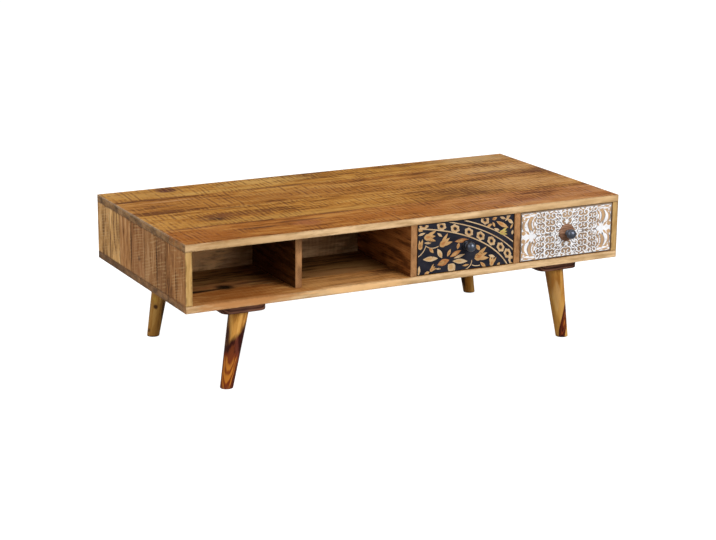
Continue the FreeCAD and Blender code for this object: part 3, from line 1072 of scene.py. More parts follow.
def dress_node(node: str, material: Material) -> Piece:
    """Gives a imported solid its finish.

    Args:
        node: The solid's name.
        material: Its material.

    Returns:
        The solid's object.
    """
    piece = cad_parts[node]
    for slot in piece.material_slots:
        slot.material = material
    return piece


@dataclass
class Board:
    """One plank: a box with eased arrises and shallow saw dips in its two sawn faces."""

    name: str
    low: Vector
    high: Vector
    grain: Axis
    through: Axis
    finish: BoardFinish
    seed: int
    shade: float = 1.0
    warmth: float = 0.0
    cut_shade: float = 1.0
    ease: float = 0.0009
    step: float = 0.006
    stains_and_light: tuple[Stain, ...] = ()
    ease_shares: ClassVar[Floats] = (0.0, 0.3, 1.0, 2.2)
    dip: ClassVar[float] = 0.00018
    dip_pitch: ClassVar[float] = 0.009
    dip_share: ClassVar[float] = 0.7
    sway_share: ClassVar[float] = 0.35
    sway_length: ClassVar[float] = 0.07
    patch_lengths: ClassVar[Span] = (0.085, 0.041)
    sag_share: ClassVar[float] = 0.3
    sag_length: ClassVar[float] = 0.27
    skin: ClassVar[float] = 1e-7

    @property
    def centre(self) -> Vector:
        """The middle of the board."""
        return (self.low + self.high) / 2.0

    @property
    def order(self) -> tuple[Axis, Axis, Axis]:
        """The board's directions: along the grain, across it and through it."""
        across = next(axis for axis in Axis if axis not in (self.grain, self.through))
        return self.grain, across, self.through

    @property
    def half_in_order(self) -> Triple:
        """Half the board's sizes, in its own order."""
        half = (self.high - self.low) / 2.0
        return tuple(half[axis.value] for axis in self.order)

    def lines(self, axis: Axis) -> np.ndarray:
        """Where the mesh is divided along one direction, close together at the arrises.

        Args:
            axis: The direction.

        Returns:
            The places, from the low end to the high end.
        """
        low, high = self.low[axis.value], self.high[axis.value]
        rim = self.ease * np.array(self.ease_shares)
        count = max(2, round((high - low) / self.step))
        middle = np.linspace(low + rim[-1], high - rim[-1], count)
        return np.concatenate([low + rim[:-1], middle, high - rim[-2::-1]])

    def build(self) -> Piece:
        """Builds the plank's mesh.

        Returns:
            The plank.
        """
        lines = [self.lines(axis) for axis in Axis]
        counts = [len(line) for line in lines]
        index = np.full(counts, -1)
        shell = np.ones(counts, bool)
        shell[1:-1, 1:-1, 1:-1] = False
        places = np.argwhere(shell)
        index[tuple(places.T)] = np.arange(len(places))
        points = np.stack([line[places[:, axis]] for axis, line in enumerate(lines)], 1)
        inner = np.clip(points, np.array(self.low) + self.ease, np.array(self.high) - self.ease)
        out = points - inner
        points = inner + self.ease * out / np.linalg.norm(out, axis=1, keepdims=True)
        faces = np.concatenate([self.quads(index, axis, last) for axis, last in product(Axis, (False, True))])
        piece = mesh_piece(self.name, points + self.saw_dips(points), faces.tolist())
        piece.data.polygons.foreach_set("use_smooth", [True] * len(piece.data.polygons))
        piece.data.materials.append(self.finish.material(self))
        return piece

    @staticmethod
    def quads(index: np.ndarray, axis: Axis, last: bool) -> np.ndarray:
        """The faces of one side of the box.

        Args:
            index: The number of each vertex by its place in the grid.
            axis: The side's direction.
            last: True for the high side.

        Returns:
            Four vertex numbers for each face, turned outwards.
        """
        sheet = np.take(index, -1 if last else 0, axis=axis.value)
        corners = [sheet[:-1, :-1], sheet[1:, :-1], sheet[1:, 1:], sheet[:-1, 1:]]
        if last == (axis is Axis.Y):
            corners.reverse()
        return np.stack([corner.ravel() for corner in corners], 1)

    def saw_dips(self, points: np.ndarray) -> np.ndarray:
        """How far the saw has dipped into the two sawn faces.

        Args:
            points: The box's vertices.

        Returns:
            A move inwards for each vertex.
        """
        along, across, through = (points[:, axis.value] for axis in self.order)
        phases = np.random.default_rng(self.seed).uniform(0.0, TURN, 5)
        sway = self.sway_share * self.dip_pitch * np.sin(across / self.sway_length + phases[0])
        way = along + self.finish.stroke_slant * across + sway
        cut = 0.5 + 0.5 * np.sin(TURN * way / self.dip_pitch + phases[1])
        patch_length, patch_width = self.patch_lengths
        swell = np.sin(along / patch_length + phases[2]) * np.sin(across / patch_width + phases[3])
        sag = 0.5 + 0.5 * np.sin(along / self.sag_length + phases[4])
        depth = self.dip * (self.dip_share * cut ** 3 * (0.5 + 0.5 * swell) + self.sag_share * sag)
        axis = self.through.value
        moves = np.zeros_like(points)
        moves[:, axis] += np.where(through < self.low[axis] + self.skin, depth, 0.0)
        moves[:, axis] -= np.where(through > self.high[axis] - self.skin, depth, 0.0)
        return moves


class Assembly(ABC):
    """A sub-assembly of the table, which builds its pieces and dresses them."""

    @abstractmethod
    def build(self) -> Pieces:
        """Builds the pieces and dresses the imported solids.

        Returns:
            Each piece that is done.
        """


@dataclass
class Panel(Assembly):
    """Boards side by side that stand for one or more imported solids."""

    nodes: tuple[str, ...]
    finish: BoardFinish = TOP_WOOD
    grain: Axis = Axis.X
    through: Axis = Axis.Z
    shares: Floats = (1.0,)
    shades: Floats = (1.0,)
    warmths: Floats = (0.0,)
    cut_shades: Floats = (1.0,)
    stains_and_light: tuple[Stain, ...] = ()
    seed: int = 1
    step: float = 0.006
    ease: float = 0.0009

    def boards(self) -> Iterator[tuple[str, Vector, Vector]]:
        """Where each board lies, from the front to the rear.

        Returns:
            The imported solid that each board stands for, and its lowest and highest corners.
        """
        for node in self.nodes:
            low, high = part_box(node)
            depth = high.y - low.y
            start = low.y
            for share in self.shares:
                end = start + share * depth / sum(self.shares)
                yield node, Vector((low.x, start, low.z)), Vector((high.x, end, high.z))
                start = end

    def build(self) -> Pieces:
        """Builds each board (see Assembly.build)."""
        tones = zip(cycle(self.shades), cycle(self.warmths), cycle(self.cut_shades))
        for number, ((node, low, high), tone) in enumerate(zip(self.boards(), tones)):
            stains_and_light = tuple(stain_or_light for stain_or_light in self.stains_and_light if stain_or_light.touches(low, high))
            board = Board(
                f"{node}_plank_{number + 1}", low, high, self.grain, self.through, self.finish,
                self.seed + number, *tone, self.ease, self.step, stains_and_light)
            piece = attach(board.build(), "case")
            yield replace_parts(piece, node)


@dataclass
class TopPanel(Panel):
    """The top of four rough sawn planks."""

    nodes: tuple[str, ...] = tuple(f"top_board_{name}" for name in ("front", "mid_front", "mid_rear", "rear"))
    shades: Floats = (0.7, 0.92, 0.83, 0.98)
    warmths: Floats = (0.15, 0.02, 0.06, 0.0)
    seed: int = 11
    step: float = 0.0042
    ease: float = 0.0007
    stains_and_light: tuple[Stain, ...] = (
        *Stain.on_level(TOP_LEVEL, (
            (-0.24, -0.118, 0.4, 0.026, (0.48, 0.25, 0.055), 0.65),
            (-0.28, 0.186, 0.26, 0.022, (0.5, 0.27, 0.065), 0.7),
            (-0.14, 0.08, 0.2, 0.06, (0.27, 0.095, 0.012), 0.6),
            # Partly lighter wood, partly painted sheen: a paler patch at the right end of the plank.
            (0.42, -0.06, 0.2, 0.07, (0.42, 0.21, 0.06), 0.6),
            (0.3, 0.225, 0.24, 0.03, (0.5, 0.24, 0.035), 0.6),
            (-0.15, 0.238, 0.18, 0.05, (0.6, 0.35, 0.1), 0.65),
            (-0.46, 0.232, 0.15, 0.06, (0.36, 0.165, 0.026), 0.55),
            # Partly lighter wood, partly painted sheen: a paler patch at the right end of the plank.
            (0.46, 0.238, 0.17, 0.06, (0.52, 0.32, 0.13), 0.7),
        )),
        Stain((-0.43, -0.275, 0.3515), (0.2, 0.006, 0.03), (0.5, 0.3, 0.13), 0.5, 1.5),
        Stain((0.43, -0.275, 0.3515), (0.2, 0.006, 0.03), (0.5, 0.31, 0.14), 0.5, 1.5),
        # Painted highlight: a pale line along the top's left arris.
        Stain((-0.575, 0.0, 0.36), (0.005, 0.6, 0.005), (0.5, 0.36, 0.22), 0.55, 1.3),
        *Stain.on_level(TOP_LEVEL, (
            (-0.43, 0.132, 0.11, 0.008, (0.5, 0.26, 0.11), 0.7, 1.5),
            (-0.405, -0.064, 0.06, 0.034, (0.07, 0.02, 0.005), 0.95),
            (-0.413, -0.078, 0.026, 0.024, (0.025, 0.007, 0.002), 1.0, 0.9),
            (-0.37, -0.06, 0.14, 0.034, (0.2, 0.066, 0.012), 0.7),
            (-0.41, 0.246, 0.04, 0.042, (0.09, 0.018, 0.004), 1.0),
            # Partly lighter wood, partly painted sheen: a paler patch at the right end of the plank.
            (0.44, 0.11, 0.2, 0.06, (0.54, 0.31, 0.1), 0.7),
            (0.43, 0.086, 0.13, 0.014, (0.15, 0.056, 0.014), 0.8),
            (-0.36, -0.2, 0.1, 0.011, (0.1, 0.028, 0.005), 0.9, 1.5),
            (-0.25, -0.176, 0.08, 0.012, (0.12, 0.034, 0.006), 0.85, 1.5),
            (-0.237, -0.205, 0.05, 0.034, (0.28, 0.09, 0.028), 0.8),
            (0.31, -0.225, 0.2, 0.034, (0.22, 0.064, 0.012), 0.7),
            (0.0, -0.21, 0.22, 0.05, (0.32, 0.1, 0.01), 0.6),
            (-0.51, -0.215, 0.13, 0.075, (0.29, 0.088, 0.009), 0.8),
            (0.52, -0.21, 0.08, 0.06, (0.3, 0.1, 0.014), 0.7),
            (-0.14, 0.165, 0.16, 0.012, (0.13, 0.042, 0.007), 0.8, 1.5),
            (-0.48, 0.164, 0.12, 0.007, (0.13, 0.044, 0.008), 0.8, 1.5),
            (-0.48, 0.088, 0.07, 0.008, (0.14, 0.046, 0.008), 0.8, 1.5),
            (-0.3, 0.102, 0.04, 0.007, (0.12, 0.04, 0.007), 0.8, 1.5),
            (-0.34, 0.008, 0.1, 0.007, (0.13, 0.044, 0.008), 0.8, 1.5),
            (-0.15, -0.14, 0.14, 0.009, (0.13, 0.04, 0.007), 0.8, 1.5),
            (-0.47, -0.14, 0.12, 0.007, (0.13, 0.04, 0.007), 0.8, 1.5),
            (0.19, -0.04, 0.12, 0.014, (0.17, 0.058, 0.01), 0.45),
        )),
    )


@dataclass
class BottomPanel(Panel):
    """The bottom, which is the floor of the bays."""

    nodes: tuple[str, ...] = ("bottom_boards",)
    finish: BoardFinish = CASE_WOOD
    shares: Floats = (0.182, 0.318, 0.318, 0.182)
    # The two inner boards are darker, partly as painted shade at the rear of the bays.
    shades: Floats = (1.1, 0.64, 0.64, 1.1)
    warmths: Floats = (0.0, -0.06, -0.03, 0.0)
    seed: int = 31
    step: float = 0.008
    stains_and_light: tuple[Stain, ...] = (
        *Stain.on_level(BAY_LEVEL, (
            # Painted light: paler strips on the front of the inner boards, where light reaches into the bays.
            (-0.42, -0.15, 0.16, 0.034, (0.36, 0.15, 0.05), 0.85),
            (-0.15, -0.155, 0.15, 0.036, (0.36, 0.17, 0.06), 0.7),
        )),
        Stain((-0.15, -0.235, 0.219), (0.17, 0.06, 0.008), (0.6, 0.3, 0.1), 0.45, 1.8),
        Stain((-0.43, -0.225, 0.219), (0.2, 0.08, 0.008), (0.29, 0.09, 0.016), 0.8, 1.8),
        *Stain.on_level(BAY_LEVEL, (
            (-0.36, -0.15, 0.1, 0.012, (0.06, 0.022, 0.008), 0.7, 1.5),
            (-0.505, -0.1735, 0.1, 0.012, (0.016, 0.007, 0.004), 1.0, 0.6),
            (-0.433, -0.1635, 0.032, 0.032, (0.008, 0.004, 0.002), 1.0, 0.5),
        )),
        Stain((-0.575, 0.19, 0.2105), (0.012, 0.14, 0.03), (0.1, 0.052, 0.022), 0.5, 1.2),
        Stain((-0.44, -0.275, 0.2105), (0.2, 0.02, 0.024), (0.47, 0.21, 0.07), 0.9, 1.5),
        Stain((-0.14, -0.275, 0.2105), (0.17, 0.02, 0.024), (0.8, 0.48, 0.22), 0.8, 1.5),
    )


@dataclass
class EndPanel(Panel):
    """An end of narrow upright boards."""

    finish: BoardFinish = END_WOOD
    grain: Axis = Axis.Z
    through: Axis = Axis.X
    shares: Floats = (0.205, 0.1, 0.136, 0.155, 0.136, 0.12, 0.148)
    shades: Floats = (1.0, 0.66, 0.9, 0.83, 1.24, 2.2, 1.82)
    warmths: Floats = (0.06, 0.09, 0.05, 0.1, 0.03, -0.1, -0.08)
    seed: int = 51
    ease: float = 0.0011
    stains_and_light: tuple[Stain, ...] = (
        Stain((-0.575, 0.003, 0.264), (0.02, 0.012, 0.009), (0.09, 0.035, 0.012), 0.85),
        Stain((-0.575, 0.053, 0.28), (0.02, 0.005, 0.09), (0.045, 0.02, 0.008), 0.85, 1.2),
        Stain((-0.575, -0.107, 0.28), (0.02, 0.005, 0.09), (0.045, 0.018, 0.008), 0.85, 1.2),
    )


@dataclass
class Partition(Panel):
    """The long centre partition, which closes the back of the bays."""

    nodes: tuple[str, ...] = ("centre_partition",)
    finish: BoardFinish = PARTITION_WOOD
    through: Axis = Axis.Y
    seed: int = 71
    stains_and_light: tuple[Stain, ...] = (
        # Painted light: a pale warm patch on the left of the leftmost bay's back wall.
        Stain((-0.48, -0.0085, 0.28), (0.2, 0.02, 0.11), (0.94, 0.56, 0.25), 0.9, 2.0),
        # Painted shade: darker on the right of the second bay's back wall.
        Stain((-0.08, -0.0085, 0.28), (0.13, 0.02, 0.11), (0.24, 0.12, 0.045), 0.6, 2.0),
        # Painted shade: darker in the back corners beside the left and centre dividers.
        Stain((-0.02, -0.0085, 0.29), (0.09, 0.02, 0.1), (0.1, 0.045, 0.015), 0.6, 1.4),
        Stain((-0.3, -0.0085, 0.29), (0.07, 0.02, 0.1), (0.12, 0.045, 0.012), 0.7, 1.4),
    )


@dataclass
class Dividers(Panel):
    """The dividers between the bays of one side, from its left to its right."""

    finish: BoardFinish = INSIDE_WOOD
    grain: Axis = Axis.Y
    through: Axis = Axis.X
    # Painted shade and light: the left divider is darkened for the shade on its face, the centre one
    # lightened for the light on its face.
    shades: Floats = (0.38, 1.45, 1.0)
    cut_shades: Floats = (0.92, 1.0, 1.07)


# Painted shade: a dark rim round the bottom of a leg, where it meets the floor.
PAINTED_FOOT_SHADE = Stain((0.0, 0.0, 0.0), (0.05, 0.05, 0.004), (0.03, 0.014, 0.007))


@dataclass
class LegSet(Assembly):
    """The four turned legs on their dark plates."""

    figures: Mapping[Corner, LegFigure] = field(default_factory=lambda: {
        Corner.FRONT_LEFT: LegFigure(
            Heart((0.0013, 0.0006, 0.0), 0.0214), Heart((0.0055, 0.0088, 0.0), 0.0334), flame_top=0.1,
            zone=0.012, spacing=0.0015, shade=1.4,
            stains_and_light=(
                Stain((0.0061, -0.0165, 0.08), (0.014, 0.022, 0.036), (0.2, 0.046, 0.013), 0.7, 3.0),
                Stain((0.018, -0.0165, 0.098), (0.006, 0.02, 0.04), (0.16, 0.038, 0.022), 0.7, 1.4),
                # Partly heart colour, partly painted shade: dark strips down the leg's left edge.
                Stain((0.0022, -0.0015, 0.122), (0.014, 0.016, 0.06), (0.055, 0.019, 0.012), 1.0, 0.4),
                Stain((0.0086, 0.0053, 0.17), (0.011, 0.012, 0.09), (0.05, 0.018, 0.009), 1.0, 0.3),
                # Painted shade: a dark rim round the bottom of the leg, where it meets the floor.
                Stain((0.0, 0.0, 0.0), (0.04, 0.04, 0.014), (0.16, 0.04, 0.016), 0.8),
            )),
        Corner.FRONT_RIGHT: LegFigure(
            Heart((-0.0118, -0.0186, 0.0), 0.0113, (0.364, -0.024, 0.0)), zone=0.03, shade=1.02,
            stains_and_light=(
                Stain((-0.0467, -0.0069, 0.15), (0.022, 0.03, 0.06), (0.28, 0.11, 0.022), 0.75),
                Stain((-0.0305, -0.017, 0.108), (0.013, 0.02, 0.05), (0.5, 0.31, 0.125), 0.45, 2.2),
                # Painted shade: a dark strip down the leg's left edge.
                Stain((-0.0335, 0.0108, 0.1), (0.008, 0.013, 0.12), (0.06, 0.025, 0.01), 0.85),
                PAINTED_FOOT_SHADE,
            )),
        Corner.REAR_LEFT: LegFigure(
            Heart((0.04, 0.03, 0.0), 0.02), shade=0.8,
            stains_and_light=(
                Stain((0.0016, -0.015, 0.077), (0.006, 0.02, 0.007), (0.05, 0.02, 0.008), 0.95),
                Stain((0.0011, -0.0137, 0.096), (0.006, 0.02, 0.012), (0.46, 0.28, 0.05), 0.7),
                Stain((-0.015, -0.011, 0.016), (0.006, 0.02, 0.008), (0.07, 0.03, 0.012), 0.9),
                # Painted shade: dark strips down both edges of the leg.
                Stain((0.0206, -0.0119, 0.05), (0.0075, 0.012, 0.12), (0.045, 0.02, 0.008), 0.85),
                Stain((-0.0057, 0.0064, 0.06), (0.0065, 0.01, 0.12), (0.06, 0.028, 0.012), 0.8),
                PAINTED_FOOT_SHADE,
            )),
        Corner.REAR_RIGHT: LegFigure(
            Heart((0.04, 0.04, 0.0), 0.02), shade=1.1,
            stains_and_light=(
                Stain((-0.0148, -0.0141, 0.03), (0.014, 0.02, 0.03), (0.52, 0.2, 0.025), 0.75),
                Stain((-0.03, 0.012, 0.09), (0.027, 0.055, 0.3), (0.03, 0.011, 0.003), 1.0),
                PAINTED_FOOT_SHADE,
            )),
    })
    seed: int = 91

    def build(self) -> Pieces:
        """Dresses the legs and their plates (see Assembly.build)."""
        for number, corner in enumerate(Corner):
            node = f"{corner.value}_leg"
            low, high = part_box(node)
            foot, top = (self.middle_at(node, level) for level in (low.z, high.z))
            slope = (top.x - foot.x) / (top.z - foot.z)
            material = LEG_WOOD.material(corner.value, foot, slope, self.figures[corner], self.seed + number)
            yield dress_node(node, material)
            yield dress_node(f"{node}_plate", PLATE_WOOD.material(corner.value, self.seed - number))

    @staticmethod
    def middle_at(node: str, level: float, near: float = 1e-4) -> Vector:
        """The middle of a leg at its foot or its top.

        Args:
            node: The leg's solid.
            level: The height that is asked for.
            near: How close to it a vertex has to be.

        Returns:
            The middle of the vertices at that height.
        """
        ring = [vertex.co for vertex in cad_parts[node].data.vertices if abs(vertex.co.z - level) < near]
        ends = [(min(point[axis] for point in ring), max(point[axis] for point in ring)) for axis in (0, 1)]
        return Vector((*(sum(pair) / 2.0 for pair in ends), level))


Shapes = Iterator[tuple[Ink, Outline]]
LEAST_CORNERS = 3
LEAF_POINTS = 9
BEND_POINTS = 14
LOBE_POINTS = 32
CURL_POINTS = 22
CURL_TURNS = 1.15
CURL_INWARD = 0.78
CURL_TAPER = 0.35
CURL_START = 0.25
CURL_SWELL = 5.0


def heading(turn: float) -> complex:
    """A step of one in a direction, in degrees."""
    return np.exp(1j * math.radians(turn))


def leaf(place: complex, length: float, width: float, turn: float, belly: float = 1.0) -> Outline:
    """A pointed leaf or petal.

    Args:
        place: Its middle.
        length: From point to point.
        width: Across its belly.
        turn: The way that it points, in degrees.
        belly: Under 1 moves its belly to the base, over 1 to the tip.

    Returns:
        Its outline.
    """
    way = np.linspace(0.0, 1.0, LEAF_POINTS)
    half = 0.5 * width * np.sin(math.pi * way ** belly)
    spine = (way - 0.5) * length
    sides = np.concatenate([spine - 1j * half, (spine + 1j * half)[-2:0:-1]])
    return place + sides * heading(turn)


def ribbon(line: Outline, widths: np.ndarray | float) -> Outline:
    """A stroke along a line.

    Args:
        line: The middle of the stroke.
        widths: Its width, or its width at each point.

    Returns:
        Its outline.
    """
    way = np.gradient(line)
    side = 0.5j * widths * way / np.abs(way)
    return np.concatenate([line - side, (line + side)[::-1]])


def bent(points: Sequence[complex]) -> Outline:
    """A smooth line of three control points.

    Args:
        points: Its start, the point that it bends towards and its end.

    Returns:
        The line.
    """
    way = np.linspace(0.0, 1.0, BEND_POINTS)
    start, middle, end = points
    return start * (1 - way) ** 2 + 2 * middle * way * (1 - way) + end * way ** 2


def curl(place: complex, radius: float, width: float, turn: float, hand: int) -> Outline:
    """A scroll that winds in to a point.

    Args:
        place: Its middle.
        radius: How far its tail starts from the middle.
        width: The stroke's width at the tail.
        turn: Where the tail starts, in degrees.
        hand: 1 or -1, the way that it winds.

    Returns:
        Its outline.
    """
    way = np.linspace(0.0, 1.0, CURL_POINTS)
    angle = math.radians(turn) + hand * TURN * CURL_TURNS * way
    line = place + radius * (1.0 - CURL_INWARD * way) * np.exp(1j * angle)
    swell = np.clip(way * CURL_SWELL + CURL_START, 0.0, 1.0)
    return ribbon(line, width * (1.0 - CURL_TAPER * way) * swell)


def lobed(place: complex, size: float, lobes: int, turn: float, notch: float) -> Outline:
    """A flower or dot with round lobes.

    Args:
        place: Its middle.
        size: How far its lobes reach.
        lobes: How many it has.
        turn: Where the first lobe points, in degrees.
        notch: How deep it is cut between the lobes, as a share of its size.

    Returns:
        Its outline.
    """
    angle = np.linspace(0.0, TURN, LOBE_POINTS, endpoint=False)
    reach = size * (1.0 - notch / 2.0 + notch / 2.0 * np.cos(lobes * (angle - math.radians(turn))))
    return place + reach * np.exp(1j * angle)


def within(outline: Outline, width: float, height: float, margin: float) -> Outline:
    """The part of an outline that lies on the face.

    Args:
        outline: The outline.
        width: The face's width.
        height: The face's height.
        margin: How far it stays from the face's edges.

    Returns:
        What is left of the outline, which may be nothing.
    """
    edges = ((1.0, margin), (-1.0, margin - width), (-1j, margin), (1j, margin - height))
    for way, least in edges:
        kept = []
        depths = (outline * way).real - least
        for number, depth in enumerate(depths):
            before = depths[number - 1]
            if (depth >= 0.0) != (before >= 0.0):
                share = before / (before - depth)
                kept.append(outline[number - 1] * (1.0 - share) + outline[number] * share)
            if depth >= 0.0:
                kept.append(outline[number])
        outline = np.array(kept, complex)
        if len(outline) < LEAST_CORNERS:
            break
    return outline


@dataclass(frozen=True)
class Sprig:
    """A leaf of a print: its place, size, direction and ink, in millimetres and degrees."""

    u: float
    v: float
    length: float
    width: float
    turn: float
    ink: Ink

    @property
    def place(self) -> complex:
        """The leaf's middle."""
        return complex(self.u, self.v)

    def outline(self) -> Outline:
        """The leaf's outline."""
        return leaf(self.place, self.length, self.width, self.turn)


@dataclass(frozen=True)
class Tulip:
    """A flower of three pointed lobes: its middle, size, direction and ink, in millimetres and degrees.

    The cup and the core have their rise from the flower's foot, their length, width and belly, and each
    lobe its lean, length and width, all but the lean and the belly as shares of the flower's size.
    """

    u: float
    v: float
    size: float
    turn: float
    ink: Ink
    foot_share: ClassVar[float] = 0.45
    cup: ClassVar[Floats] = (0.3, 0.62, 0.46, 0.8)
    core: ClassVar[Floats] = (0.34, 0.42, 0.2, 0.8)
    lobes: ClassVar[tuple[Triple, ...]] = ((0.0, 0.92, 0.24), (20.0, 1.04, 0.24), (-20.0, 1.0, 0.24))
    lobe_lean: ClassVar[float] = 1.1
    lobe_belly: ClassVar[float] = 1.1

    def shapes(self, core_ink: Ink) -> Shapes:
        """The cup, the three lobes and the core.

        Args:
            core_ink: The core's ink.

        Returns:
            Each shape's ink and outline.
        """
        way = heading(self.turn)
        foot = complex(self.u, self.v) - self.foot_share * self.size * way
        yield self.ink, self.on_middle(foot, *self.cup)
        for lean, length, width in self.lobes:
            reach = length * self.size
            middle = foot + 0.5 * reach * way * heading(lean)
            turn = self.turn + self.lobe_lean * lean
            yield self.ink, leaf(middle, reach, width * self.size, turn, self.lobe_belly)
        yield core_ink, self.on_middle(foot, *self.core)

    def on_middle(self, foot: complex, rise: float, length: float, width: float, belly: float) -> Outline:
        """A leaf on the flower's middle line."""
        place = foot + rise * self.size * heading(self.turn)
        return leaf(place, length * self.size, width * self.size, self.turn, belly)


@dataclass
class BlockPrint(ABC):
    """A print of thin raised shapes on a drawer's face, drawn in millimetres from its lower left corner."""

    width: float
    height: float

    @abstractmethod
    def shapes(self) -> Shapes:
        """Draws the print.

        Returns:
            Each shape's ink and outline.
        """


@dataclass
class GardenPrint(BlockPrint):
    """Leaves and tulips inside an arched border of round flowers."""

    centre: complex = -67.3 - 50.5j
    rings: tuple[Triple, ...] = ((329.0, 166.0, 2.8), (369.0, 187.0, 2.4), (388.0, 196.0, 2.4))
    ring_points: int = 90
    flower_places: tuple[complex, ...] = (
        14 + 119j, 62.4 + 112.4j, 99.4 + 103j, 137.6 + 90.6j, 170 + 77.6j, 200.6 + 62j, 226.6 + 44j,
        246.6 + 26.4j, 260 + 7j, 181 + 115j)
    flower_size: float = 14.0
    flower_squash: float = 0.74
    flower_lobes: int = 6
    flower_shares: tuple[tuple[Ink, float, float], ...] = (
        (Ink.CREAM, 0.98, 0.17), (Ink.TAN, 0.6, 0.14), (Ink.NIGHT, 0.36, 0.0))
    leaves: tuple[Sprig, ...] = (
        Sprig(34, 36.5, 41, 12.5, -2, Ink.CREAM), Sprig(59, 47, 27, 12, 118, Ink.CREAM),
        Sprig(84, 46, 20, 8, 62, Ink.TAN), Sprig(102, 42, 33, 11, 24, Ink.AMBER),
        Sprig(113, 34.5, 32, 7, 13, Ink.CREAM), Sprig(115, 22, 42, 12, -7, Ink.CREAM),
        Sprig(69, 24, 34, 16, 16, Ink.AMBER), Sprig(92, 9, 26, 22, -42, Ink.CREAM),
        Sprig(9, 98.5, 20, 6, 12, Ink.CREAM), Sprig(26, 76, 19, 6, -5, Ink.CREAM),
        Sprig(58, 92, 17, 6, -36, Ink.CREAM), Sprig(36, 57, 18, 8, -48, Ink.TAN),
        Sprig(118, 72, 38, 10, 2, Ink.AMBER), Sprig(109, 60, 16, 8, 75, Ink.TAN),
        Sprig(164, 50, 17, 9, -58, Ink.TAN), Sprig(203, 24.5, 20, 7, -20, Ink.CREAM),
        Sprig(131, 10.5, 20, 5, 4, Ink.TAN), Sprig(179, 6, 22, 8, -42, Ink.TAN),
        Sprig(3, 11, 24, 8, 84, Ink.CREAM), Sprig(25, 3, 15, 8, 20, Ink.TAN),
        Sprig(56, 10, 14, 4, -4, Ink.CREAM), Sprig(222, 2, 12, 7, 50, Ink.TAN),
        Sprig(208, 116, 14, 8, 15, Ink.TAN), Sprig(230, 99, 40, 10, -30, Ink.TAN),
        Sprig(252, 105, 22, 8, -38, Ink.CREAM), Sprig(194, 100.5, 16, 7, 22, Ink.TAN),
        Sprig(206, 101.5, 14, 6, -62, Ink.TAN), Sprig(215, 88.5, 17, 6, -22, Ink.CREAM),
        Sprig(231, 115, 18, 6, -20, Ink.CREAM), Sprig(243, 111.5, 15, 5, 40, Ink.CREAM),
        Sprig(259, 77, 12, 6, 80, Ink.CREAM), Sprig(256, 92, 14, 5, 60, Ink.TAN),
        Sprig(5, 108, 16, 6, -10, Ink.TAN),
    )
    tulips: tuple[Tulip, ...] = (
        Tulip(72, 73, 35, 34, Ink.TAN), Tulip(172, 29, 40, 18, Ink.TAN), Tulip(31, 90, 34, 2, Ink.TAN),
        Tulip(5, 73, 26, 100, Ink.TAN), Tulip(40, 12, 19, 40, Ink.TAN), Tulip(204, 11, 25, 76, Ink.TAN),
        Tulip(233, 80.5, 23, 6, Ink.STRAW), Tulip(246, 118, 16, 70, Ink.CREAM),
    )
    stems: tuple[tuple[complex, complex, complex], ...] = (
        (0 + 45j, 15 + 52j, 21 + 69j), (20 + 70j, 36 + 57j, 55 + 65j), (147 + 21j, 148 + 6j, 128 - 1j),
        (148 + 9j, 158 + 4j, 170 + 6j),
    )
    stem_width: float = 2.0
    core_least: float = 7.5
    core_share: float = 0.55
    core_back: float = 0.12
    cores: ClassVar[Mapping[Ink, Ink]] = {
        Ink.CREAM: Ink.TAN, Ink.TAN: Ink.AMBER, Ink.AMBER: Ink.TAN, Ink.STRAW: Ink.TAN}

    def shapes(self) -> Shapes:
        """Draws the border first and the garden inside and outside it (see BlockPrint.shapes)."""
        angle = np.linspace(0.0, TURN / 4.0, self.ring_points)
        for reach, rise, width in self.rings:
            yield Ink.CREAM, ribbon(self.centre + reach * np.cos(angle) + 1j * rise * np.sin(angle), width)
        for place in self.flower_places:
            yield from self.round_flower(place)
        for line in self.stems:
            yield Ink.CREAM, ribbon(bent(line), self.stem_width)
        for sprig in self.leaves:
            yield from self.two_toned(sprig)
        for tulip in self.tulips:
            yield from tulip.shapes(self.cores[tulip.ink])

    def two_toned(self, sprig: Sprig) -> Shapes:
        """A leaf, with a core of another ink where it is broad.

        Args:
            sprig: The leaf.

        Returns:
            Each shape's ink and outline.
        """
        yield sprig.ink, sprig.outline()
        if sprig.width >= self.core_least:
            foot = sprig.place - self.core_back * sprig.length * heading(sprig.turn)
            length, width = self.core_share * sprig.length, self.core_share * sprig.width
            yield self.cores[sprig.ink], leaf(foot, length, width, sprig.turn)

    def round_flower(self, place: complex) -> Shapes:
        """A flower of round lobes about a dark eye, in line with the border.

        Args:
            place: Its middle.

        Returns:
            Each layer's ink and outline.
        """
        away = place - self.centre
        reach, rise, _ = self.rings[0]
        turn = math.atan2(away.imag * reach, away.real * rise) + TURN / 4.0
        for ink, share, notch in self.flower_shares:
            shape = lobed(0j, share * self.flower_size, self.flower_lobes, 0.0, notch)
            shape = shape.real + 1j * self.flower_squash * shape.imag
            yield ink, place + shape * np.exp(1j * turn)


